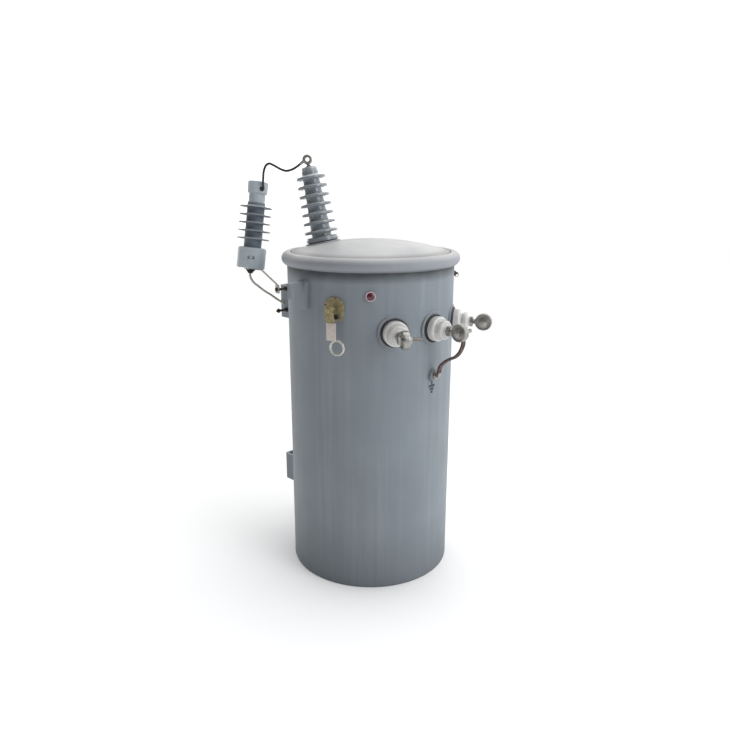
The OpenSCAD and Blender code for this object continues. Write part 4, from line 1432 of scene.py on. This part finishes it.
@dataclass
class WallBushing:
    """A low-voltage bushing: stepped porcelain, stud, clamp eye and its bolt."""

    name: str
    azimuth: float
    z: float = 783.0
    gasket_s: float = 2.0
    seat_s: float = 7.0
    gasket_radius: float = 40.5
    disc_radius: float = 35.5
    disc_height: float = 20.0
    small_radius: float = 27.0
    small_s: float = 35.0
    small_height: float = 13.0
    nose_radius: float = 16.0
    nose_height: float = 6.0
    stud_diameter: float = 16.0
    eye_reach: float = 94.0
    eye_radius: float = 25.0
    eye_thickness: float = 18.0
    bolt_diameter: float = 12.0
    bolt_out: float = 48.0

    def place(self) -> Matrix:
        """The bushing's frame, Z outwards from the wall."""
        return on_wall(self.azimuth, self.z)

    def porcelain_form(self) -> Form:
        """The glazed steps."""
        r, r2, s = self.disc_radius, self.small_radius, self.seat_s
        top = s + self.disc_height
        nose = self.small_s + self.small_height
        corners = [
            (0, s, 0), (r, s, 1.5), (r, top, 7.5), (r2 - 4, top, 4), (r2 - 4, self.small_s, 3),
            (r2, self.small_s, 1.5), (r2, nose, 5.5), (self.nose_radius, nose, 2.5),
            (self.nose_radius, nose + self.nose_height, 1.5), (0, nose + self.nose_height, 0),
        ]
        return Form().lathe(filleted(corners, closed=False), self.place(), 112)

    def terminal_form(self) -> Form:
        """The threaded stud with its nut, and the clamp eye with its sunk faces."""
        base = self.small_s + self.small_height + self.nose_height
        form = Form().thread(self.place() @ move(0, 0, base - 1), self.eye_reach - self.eye_radius - base + 8,
                             self.stud_diameter, 2.0)
        form.hexagon(self.place() @ move(0, 0, base), 27, 9)
        r, half = self.eye_radius, self.eye_thickness / 2
        hole = self.bolt_diameter / 2 + 0.5
        corners = [
            (hole, -half, 0.4), (14.2, -half, 0.8), (15.4, -half + 3, 1.0), (19.6, -half + 3, 1.2),
            (20.8, -half, 1.0), (r - 0.4, -half, 2.4), (r, -half + 4, 4), (r, half - 4, 4),
            (r - 0.4, half, 2.4), (20.8, half, 1.0), (19.6, half - 3, 1.2), (15.4, half - 3, 1.0),
            (14.2, half, 0.8), (hole, half, 0.4),
        ]
        eye = self.place() @ move(0, 0, self.eye_reach) @ turn("Y", 90)
        form.lathe(filleted(corners, step=15), eye, 96, ring=True)
        return form

    def bolt_form(self) -> Form:
        """The bolt through the eye: head and washer, nut and washer, and its free thread."""
        d, half = self.bolt_diameter, self.eye_thickness / 2
        place = self.place() @ move(0, 0, self.eye_reach) @ turn("Y", 90)
        form = Form().hexagon(place @ move(0, 0, -half - 2.5) @ turn("X", 180), 21, 8, both=False)
        low, high = -half - 2.5 - 8.4, -half - 6
        stem = filleted([(0, low, 0), (5, low, 0.6), (5, high, 0), (0, high, 0)], closed=False)
        form.lathe(stem, place, 40)
        form.washer(place @ move(0, 0, -half - 2.5), 26.4, 2.5)
        shank = d / 2 - 0.1
        form.lathe([(0, -half - 3), (shank, -half - 3), (shank, half + 4), (0, half + 4)], place, 48)
        form.washer(place @ move(0, 0, half), 24, 1.6)
        form.hexagon(place @ move(0, 0, half + 1.6), 19, 8.4)
        form.thread(place @ move(0, 0, half + 3), self.bolt_out - half - 3, d, 1.75)
        return form

    def build(self, yard: Yard) -> None:
        """Places the bushing from the wall outwards."""
        r, low, high = self.gasket_radius, self.gasket_s, self.seat_s
        gasket = filleted([(0, low, 0), (r, low, 1), (r, high, 2.2), (0, high, 0)], closed=False)
        stands = ["lv_gaskets"] if self.name == "middle" else []
        yard.put(f"wall_gasket_{self.name}", Form().lathe(gasket, self.place()), NITRILE, stands)
        yard.put(f"wall_porcelain_{self.name}", self.porcelain_form(), IVORY_GLAZE,
                 [f"lv_bushing_{self.name}"])
        yard.put(f"wall_clamp_{self.name}", self.terminal_form(), TINNED_BRONZE,
                 [f"lv_terminal_{self.name}"])
        yard.put(f"wall_bolt_{self.name}", self.bolt_form(), TINNED_BRONZE,
                 [f"lv_bolt_{self.name}"])


# ---------------------------------------------------------------- breaker handle


@dataclass
class Breaker:
    """The breaker's boss on the wall, its button and shaft, and the swinging handle."""

    azimuth: float = -68.0
    z: float = 850.0
    boss_radius: float = 26.0
    boss_height: float = 24.0
    flange_radius: float = 29.5
    flange_height: float = 5.0
    screw_circle: float = 27.4
    shaft_radius: float = 7.0
    button: tuple[float, float, float] = (11.0, -22.0, 7.5)
    hub_radius: float = 11.0
    hub_low: float = 26.5
    hub_height: float = 12.0
    lever_low: float = 30.0
    lever_thickness: float = 4.0
    tab: tuple[float, float, float, float] = (-8.0, -84.0, 20.0, -36.0)
    tab_thickness: float = 3.0
    eye: tuple[float, float] = (21.0, -104.0)
    eye_ring: float = 19.75
    wire: float = 6.5

    def place(self) -> Matrix:
        """The breaker's frame, Z outwards along the pivot."""
        return on_wall(self.azimuth, self.z)

    def lobed(self, radius: float, rim: float) -> Outline:
        """A round outline drawn out at one side round the button."""
        x, y, size = self.button
        reach, far = math.hypot(x, y), math.degrees(math.atan2(y, x))
        lean = math.degrees(math.acos((radius - size - rim) / reach))
        body = arc(0, 0, radius, far + lean, far + 360 - lean, 60)
        return body + arc(x, y, size + rim, far - lean, far + lean, 30)

    def boss_form(self) -> Form:
        """The cast boss with the pocket for its button."""
        h = self.boss_height
        x, y, size = self.button
        body = Form().prism(self.lobed(self.flange_radius, 7.0), -8, self.flange_height, self.place(), 1.5)
        body.prism(self.lobed(self.boss_radius, 3.5), self.flange_height - 2, h - 4, self.place(), 1.8)
        r = self.boss_radius - 4
        top = filleted([(0, h - 6, 0), (r, h - 6, 0), (r, h, 2.5), (0, h, 0)], closed=False)
        body.lathe(top, self.place(), 96)
        pocket = Form().lathe([(0, h - 12), (size + 0.5, h - 12), (size + 0.5, h + 5), (0, h + 5)],
                              self.place() @ move(x, y, 0), 48)
        return body.carved(pocket)

    def screws_form(self) -> Form:
        """Three pan-head screws in the flange."""
        form = Form()
        for angle in (80, 165, 250):
            turned = math.radians(angle)
            x, y = self.screw_circle * math.cos(turned), self.screw_circle * math.sin(turned)
            head = filleted([(0, 0, 0), (2.0, 0, 0), (2.0, 2.2, 1.2), (0, 2.4, 0)], closed=False)
            form.lathe(head, self.place() @ move(x, y, self.flange_height - 0.4), 32)
        return form

    def button_form(self) -> Form:
        """The black button, sunk in its pocket."""
        x, y, size = self.button
        low, high = self.boss_height - 12, self.boss_height - 6
        corners = [(0, low, 0), (size, low, 0.5), (size, high, 2.4), (4.5, high, 1.5), (3.5, high - 0.8, 1),
                   (0, high - 0.8, 0)]
        return Form().lathe(filleted(corners, closed=False), self.place() @ move(x, y, 0), 48)

    def shaft_form(self) -> Form:
        """The pivot with its washer and hexagon head."""
        top = self.hub_low + self.hub_height + 0.5
        form = Form().lathe([(0, 14), (self.shaft_radius, 14), (self.shaft_radius, top + 1), (0, top + 1)],
                            self.place(), 56)
        form.washer(self.place() @ move(0, 0, top), 18, 1.2)
        form.hexagon(self.place() @ move(0, 0, top + 1.2), 13, 2.8, both=False)
        return form

    def lever_form(self) -> Form:
        """The hub and the tapering lever."""
        low, high = self.hub_low, self.hub_low + self.hub_height
        bore = self.shaft_radius + 0.1
        r = self.hub_radius
        form = Form().lathe(filleted([(bore, low, 0.5), (r, low, 1), (r, high, 1.8), (bore, high, 0.6)]),
                            self.place(), 72, ring=True)
        x0, _, x1, _ = self.tab
        outline = filleted([(-r - 4, 3, 3), (2, r - 5, 4), (r, -10, 6), (x1 - 4, -40, 6), (x1 - 4, -46, 2),
                            (x0 + 2, -46, 2), (-r - 5, -12, 6)])
        top = self.lever_low + self.lever_thickness
        blade = Form().prism(outline, self.lever_low, top, self.place(), 0.9)
        hole = [(0, low - 5), (bore, low - 5), (bore, high + 5), (0, high + 5)]
        plug = Form().lathe(hole, self.place(), 72)
        blade = blade.carved(plug)
        start = len(form.points)
        form.points += blade.points
        form.faces += [tuple(start + i for i in face) for face in blade.faces]
        return form

    def tab_form(self) -> Form:
        """The pale tab with its two rivets."""
        x0, y0, x1, y1 = self.tab
        low = self.lever_low + self.lever_thickness
        form = Form().prism(filleted([(x0, y0, 3), (x1, y0, 3), (x1, y1, 2), (x0, y1, 2)]), low,
                            low + self.tab_thickness, self.place(), 0.7)
        for x in (x0 + 7, x1 - 7):
            dome = filleted([(0, 0, 0), (2.6, 0, 0), (2.6, 0.7, 0.5), (1.4, 1.6, 1), (0, 1.7, 0)],
                            closed=False)
            form.lathe(dome, self.place() @ move(x, y1 - 5, low + self.tab_thickness - 0.1), 28)
        return form

    def eye_form(self) -> Form:
        """The wire eye for a hook stick, with the rod that holds it."""
        x, y = self.eye
        rod = self.wire / 2 - 0.25
        height = self.lever_low + self.lever_thickness - self.wire / 2 - 0.2
        ring = [(self.eye_ring + a, b) for a, b in arc(0, 0, self.wire / 2, 0, 340, 17)]
        form = Form().lathe(ring, self.place() @ move(x, y, height), 80, ring=True)
        top = y + math.sqrt(self.eye_ring**2 - 36)
        start, end = (self.place() @ Vector((x - 6, v, height)) for v in (top, self.tab[1] + 24))
        route = [start, start.lerp(end, 0.05), start.lerp(end, 0.95), end]
        return form.cable(route, rod * 2, Vector((1, 0, 0)), 24)

    def build(self, yard: Yard) -> None:
        """Places the fixed pieces, then those that swing."""
        yard.put("breaker_casting", self.boss_form(), AGED_BRONZE, ["breaker_boss"], crease=30)
        yard.put("breaker_screws", self.screws_form(), BLACK_STEEL)
        yard.put("breaker_push", self.button_form(), NITRILE, ["breaker_button"])
        yard.put("breaker_pivot", self.shaft_form(), AGED_BRONZE, ["breaker_shaft"])
        yard.put("handle_blade", self.lever_form(), AGED_BRONZE, ["handle_lever"],
                 Body.HANDLE, 30)
        yard.put("handle_plate", self.tab_form(), DULL_ZINC, ["handle_tab"], Body.HANDLE)
        yard.put("handle_wire_eye", self.eye_form(), DRAWN_WIRE, ["handle_eye"], Body.HANDLE)


# ---------------------------------------------------------------- small fittings


@dataclass
class SmallFittings:
    """Signal light, pressure relief valve, and the earthing point with its strap and mark."""

    signal: tuple[float, float] = (-45.0, 884.0)
    signal_radius: float = 13.5
    relief: tuple[float, float] = (55.0, 909.0)
    pad_z: float = 646.0
    pad_radius: float = 17.0
    pad_out: float = 16.0
    strap_width: float = 16.0
    strap_thickness: float = 7.0
    strap_top: tuple[float, float, float] = (17.3, -344.0, 773.35)
    strap_end: tuple[float, float, float] = (0.0, -275.0, 652.3)
    strap_bend: tuple = ((1, 1), (1, 0.9), (0.98, 0.76), (0.87, 0.6), (0.7, 0.48), (0.48, 0.41), (0.27, 0.33),
                         (0.1, 0.23), (0.02, 0.12), (0, 0))
    mark: tuple[float, float] = (0.0, 617.0)
    tank_radius: float = 250.0

    def signal_forms(self) -> tuple[Form, Form]:
        """The signal light's ring and its lens."""
        place = on_wall(*self.signal)
        r = self.signal_radius
        ring = filleted([(r - 3, 1, 0), (r - 3, -3, 0), (r, -3, 0), (r, 6, 2.2), (r - 2.6, 6, 0.8),
                         (r - 3.4, 2, 0.5)])
        bulge = [(10.0 * math.sin(a), 5 + 5.0 * math.cos(a)) for a in map(math.radians, range(10, 91, 10))]
        lens = [(0.0, 10.0), *bulge, (10.0, 1.0), (0.0, 1.0)]
        return Form().lathe(ring, place, 72, ring=True), Form().lathe(lens, place, 72)

    def relief_form(self) -> Form:
        """The relief valve: hexagon, body, cap and pull ring."""
        place = on_wall(*self.relief)
        form = Form().hexagon(place @ move(0, 0, -2), 20.8, 7, both=False)
        corners = [(0, 4, 0), (8.5, 4, 0.5), (8.5, 9, 0.8), (7.4, 10, 0.5), (7.4, 12, 0.5), (8.5, 13, 0.8),
                   (8.5, 16, 1.4), (4, 16, 0.8), (4, 22, 1.5), (0, 24, 0)]
        form.lathe(filleted(corners, closed=False), place, 56)
        loop = [(6.2 + a, b) for a, b in arc(0, 0, 0.8, 0, 330, 11)]
        return form.lathe(loop, place @ move(0, -4.2, 20) @ turn("Y", 90) @ turn("Z", 12), 48, ring=True)

    def earthing_forms(self) -> tuple[Form, Form]:
        """The earthing pad, and its stud with a nut and a washer."""
        place = on_wall(0, self.pad_z)
        r, out = self.pad_radius, self.pad_out
        shape = filleted([(0, -3, 0), (r, -3, 0), (r, out - 6, 1.6), (0, out - 6, 0)], closed=False)
        pad = Form().lathe(shape,
                           place, 72)
        stud = Form().thread(place @ move(0, 0, out - 8), 16, 11.6, 1.75)
        stud.washer(place @ move(0, 0, out - 6), 25, 2)
        stud.hexagon(place @ move(0, 0, out - 4), 19, 4.2)
        return pad, stud

    def strap_form(self) -> Form:
        """The braided strap from the middle terminal down to the earthing stud."""
        top, end = Vector(self.strap_top), Vector(self.strap_end)
        route = [(*end.lerp(top, a).to_2d(), end.lerp(top, b).z) for a, b in self.strap_bend]
        w, t = self.strap_width / 2, self.strap_thickness / 2
        corners = [(w, -t, 3), (w, t, 3), (-w, t, 3), (-w, -t, 3)]
        outline = filleted(corners, step=30)
        return Form().sweep(curve_through(route, 10), lambda number, run: outline, Vector((1, 0, 0)))

    def lug_forms(self) -> Form:
        """The pressed lugs at the strap's two ends."""
        form = Form()
        w = self.strap_width / 2
        x, y, z = self.strap_top
        form.block((-w + 1, -4.2, -8), (w - 1, 4.2, 0), move(x, y, z), 1.2)
        outline = filleted([(-8, -7, 2), (8, -7, 2), (8, 8, 7.9), (-8, 8, 7.9)])
        form.prism(outline, 8.4, 10.4, move(9.6, y, 783) @ turn("Y", 90), 0.5)
        x, y, z = self.strap_end
        form.block((-w + 2, -3.9, -8), (w - 2, 3.9, 5), move(x, y, z), 1.2)
        return form

    def mark_form(self) -> Form:
        """The common earth symbol, an upright and three level bars, laid on the wall."""
        azimuth, z = self.mark
        form = Form()
        bars = [(-3, 0, 3, 10), (-13, -7.4, 13, 0), (-8.6, -16.4, 8.6, -9), (-4.4, -25.4, 4.4, -18)]
        for x0, y0, x1, y1 in bars:
            rings = []
            for out in (-0.5, 0.35):
                corners = filleted([(x0, y0, 0.8), (x1, y0, 0.8), (x1, y1, 0.8), (x0, y1, 0.8)], step=30)
                rings.append([turn("Z", azimuth + math.degrees(x / self.tank_radius))
                              @ Vector((0, -self.tank_radius - out, z + y)) for x, y in corners])
            form.skin(rings)
        return form

    def build(self, yard: Yard) -> None:
        """Places each fitting."""
        ring, lens = self.signal_forms()
        yard.put("signal_collar", ring, PALE_NYLON, ["signal_bezel"])
        yard.put("signal_dome", lens, RED_LENS, ["signal_lens"])
        yard.put("relief_body", self.relief_form(), BLACK_STEEL, ["relief_valve"])
        pad, stud = self.earthing_forms()
        yard.put("earthing_boss", pad, TANK_ENAMEL, ["earthing_pad"])
        yard.put("earthing_stud", stud, TINNED_BRONZE)
        yard.put("earthing_braid", self.strap_form(), DARK_BRAID, ["earthing_strap"])
        yard.put("earthing_lugs", self.lug_forms(), TINNED_BRONZE)
        yard.put("earth_mark", self.mark_form(), BLUE_VINYL)


# ---------------------------------------------------------------- studio


@dataclass
class Lamp:
    """One soft light: where it stands, what it looks at, its size in metres and its power in watts."""

    name: str
    spot: tuple[float, float, float]
    aim: tuple[float, float, float]
    size: tuple[float, float]
    power: float
    shade: str = "#FFFFFF"

    def build(self) -> None:
        """Hangs the lamp."""
        data = bpy.data.lights.new(self.name, "AREA")
        data.shape, data.size, data.size_y = "RECTANGLE", *self.size
        data.energy = self.power
        data.color = linear(self.shade)[:3]
        lamp = bpy.data.objects.new(self.name, data)
        lamp.location = self.spot
        lamp.rotation_euler = (Vector(self.aim) - Vector(self.spot)).to_track_quat("-Z", "Y").to_euler()
        bpy.context.scene.collection.objects.link(lamp)


@dataclass
class Studio:
    """A pale floor, soft lights and the camera."""

    camera_spot: tuple[float, float, float] = (-1.432, -1.432, 1.170)
    pitch: float = 15.0
    heading: float = -44.52
    lens_mm: float = 33.0
    lamps: list[Lamp] = field(default_factory=lambda: [
        Lamp("overhead", (0.4, 0.0, 3.2), (0.0, 0.0, 0.9), (2.2, 2.2), 14.0),
        Lamp("right_front", (0.3, -2.9, 1.8), (0.0, 0.0, 0.6), (1.4, 2.2), 30.0, "#F6FAFF"),
    ])

    def floor(self) -> None:
        """The plain pale floor."""
        mesh = bpy.data.meshes.new("floor")
        half, parts = 14.0, 28
        grid = [(-half + 2 * half * i / parts, -half + 2 * half * j / parts, 0.0)
                for j in range(parts + 1) for i in range(parts + 1)]
        row = parts + 1
        faces = [(j * row + i, j * row + i + 1, (j + 1) * row + i + 1, (j + 1) * row + i)
                 for j in range(parts) for i in range(parts)]
        mesh.from_pydata(grid, [], faces)
        finish = Finish("pale_screed", "#F8F8F8", "#FAFAFA", 900.0, (0.75, 0.9), 1.5, 0.01, ior=1.4)
        mesh.materials.append(finish.material())
        floor = bpy.data.objects.new("floor", mesh)
        bpy.context.scene.collection.objects.link(floor)

    def sky(self) -> None:
        """Light from all round, brighter behind and above than in front and to the left."""
        world = bpy.data.worlds.new("studio")
        world.use_nodes = True
        tree = world.node_tree
        tree.nodes.clear()
        way = add_node(tree, "TexCoord").outputs["Generated"]
        lobe = add_node(tree, "VectorMath", {0: way, 1: (0.88, 0.30, 0.35)}, operation="DOT_PRODUCT")
        level = add_node(tree, "MapRange", {"Value": lobe.outputs["Value"], "From Min": -0.5, "From Max": 0.4,
                                            "To Min": 0.10, "To Max": 1.45}, interpolation_type="SMOOTHSTEP")
        back = add_node(tree, "Background", {"Color": linear("#FFFFFF"), "Strength": level.outputs["Result"]})
        add_node(tree, "OutputWorld", {"Surface": back.outputs["Background"]})
        bpy.context.scene.world = world

    def camera(self) -> None:
        """The camera, at the height of the cover and a little above it."""
        data = bpy.data.cameras.new("camera")
        data.lens, data.sensor_width = self.lens_mm, 36.0
        data.clip_start, data.clip_end = 0.05, 60.0
        camera = bpy.data.objects.new("camera", data)
        camera.location = self.camera_spot
        camera.rotation_euler = (math.radians(90 - self.pitch), 0.0, math.radians(self.heading))
        bpy.context.scene.collection.objects.link(camera)
        bpy.context.scene.camera = camera

    def build(self) -> None:
        """Sets up the whole studio."""
        self.camera()
        self.floor()
        self.sky()
        for lamp in self.lamps:
            lamp.build()
        bpy.context.scene.view_settings.view_transform = "Standard"


# ---------------------------------------------------------------- the whole


def main() -> None:
    """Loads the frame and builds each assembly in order."""
    logging.basicConfig(level=logging.INFO, format="%(name)s: %(message)s", stream=sys.stdout)
    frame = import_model()
    yard = Yard(frame)
    Studio().build()
    assemblies = [
        Tank(), Cover(), LiftingHook(-93.0, "lifting_hook_left"), LiftingHook(93.0, "lifting_hook_right"),
        PoleHanger("upper_hanger", 800.0, 108.0), PoleHanger("lower_hanger", 209.5, 95.0), SideBolts(),
        CoverBushing(), Arrester(), Leads(), WallBushing("left", -30.0), WallBushing("middle", 0.0),
        WallBushing("right", 30.0), Breaker(), SmallFittings(),
    ]
    for assembly in assemblies:
        LOG.info("-- %s", type(assembly).__name__)
        assembly.build(yard)
    LOG.info("%d triangles in all", yard.total)


if __name__ == "__main__":
    main()
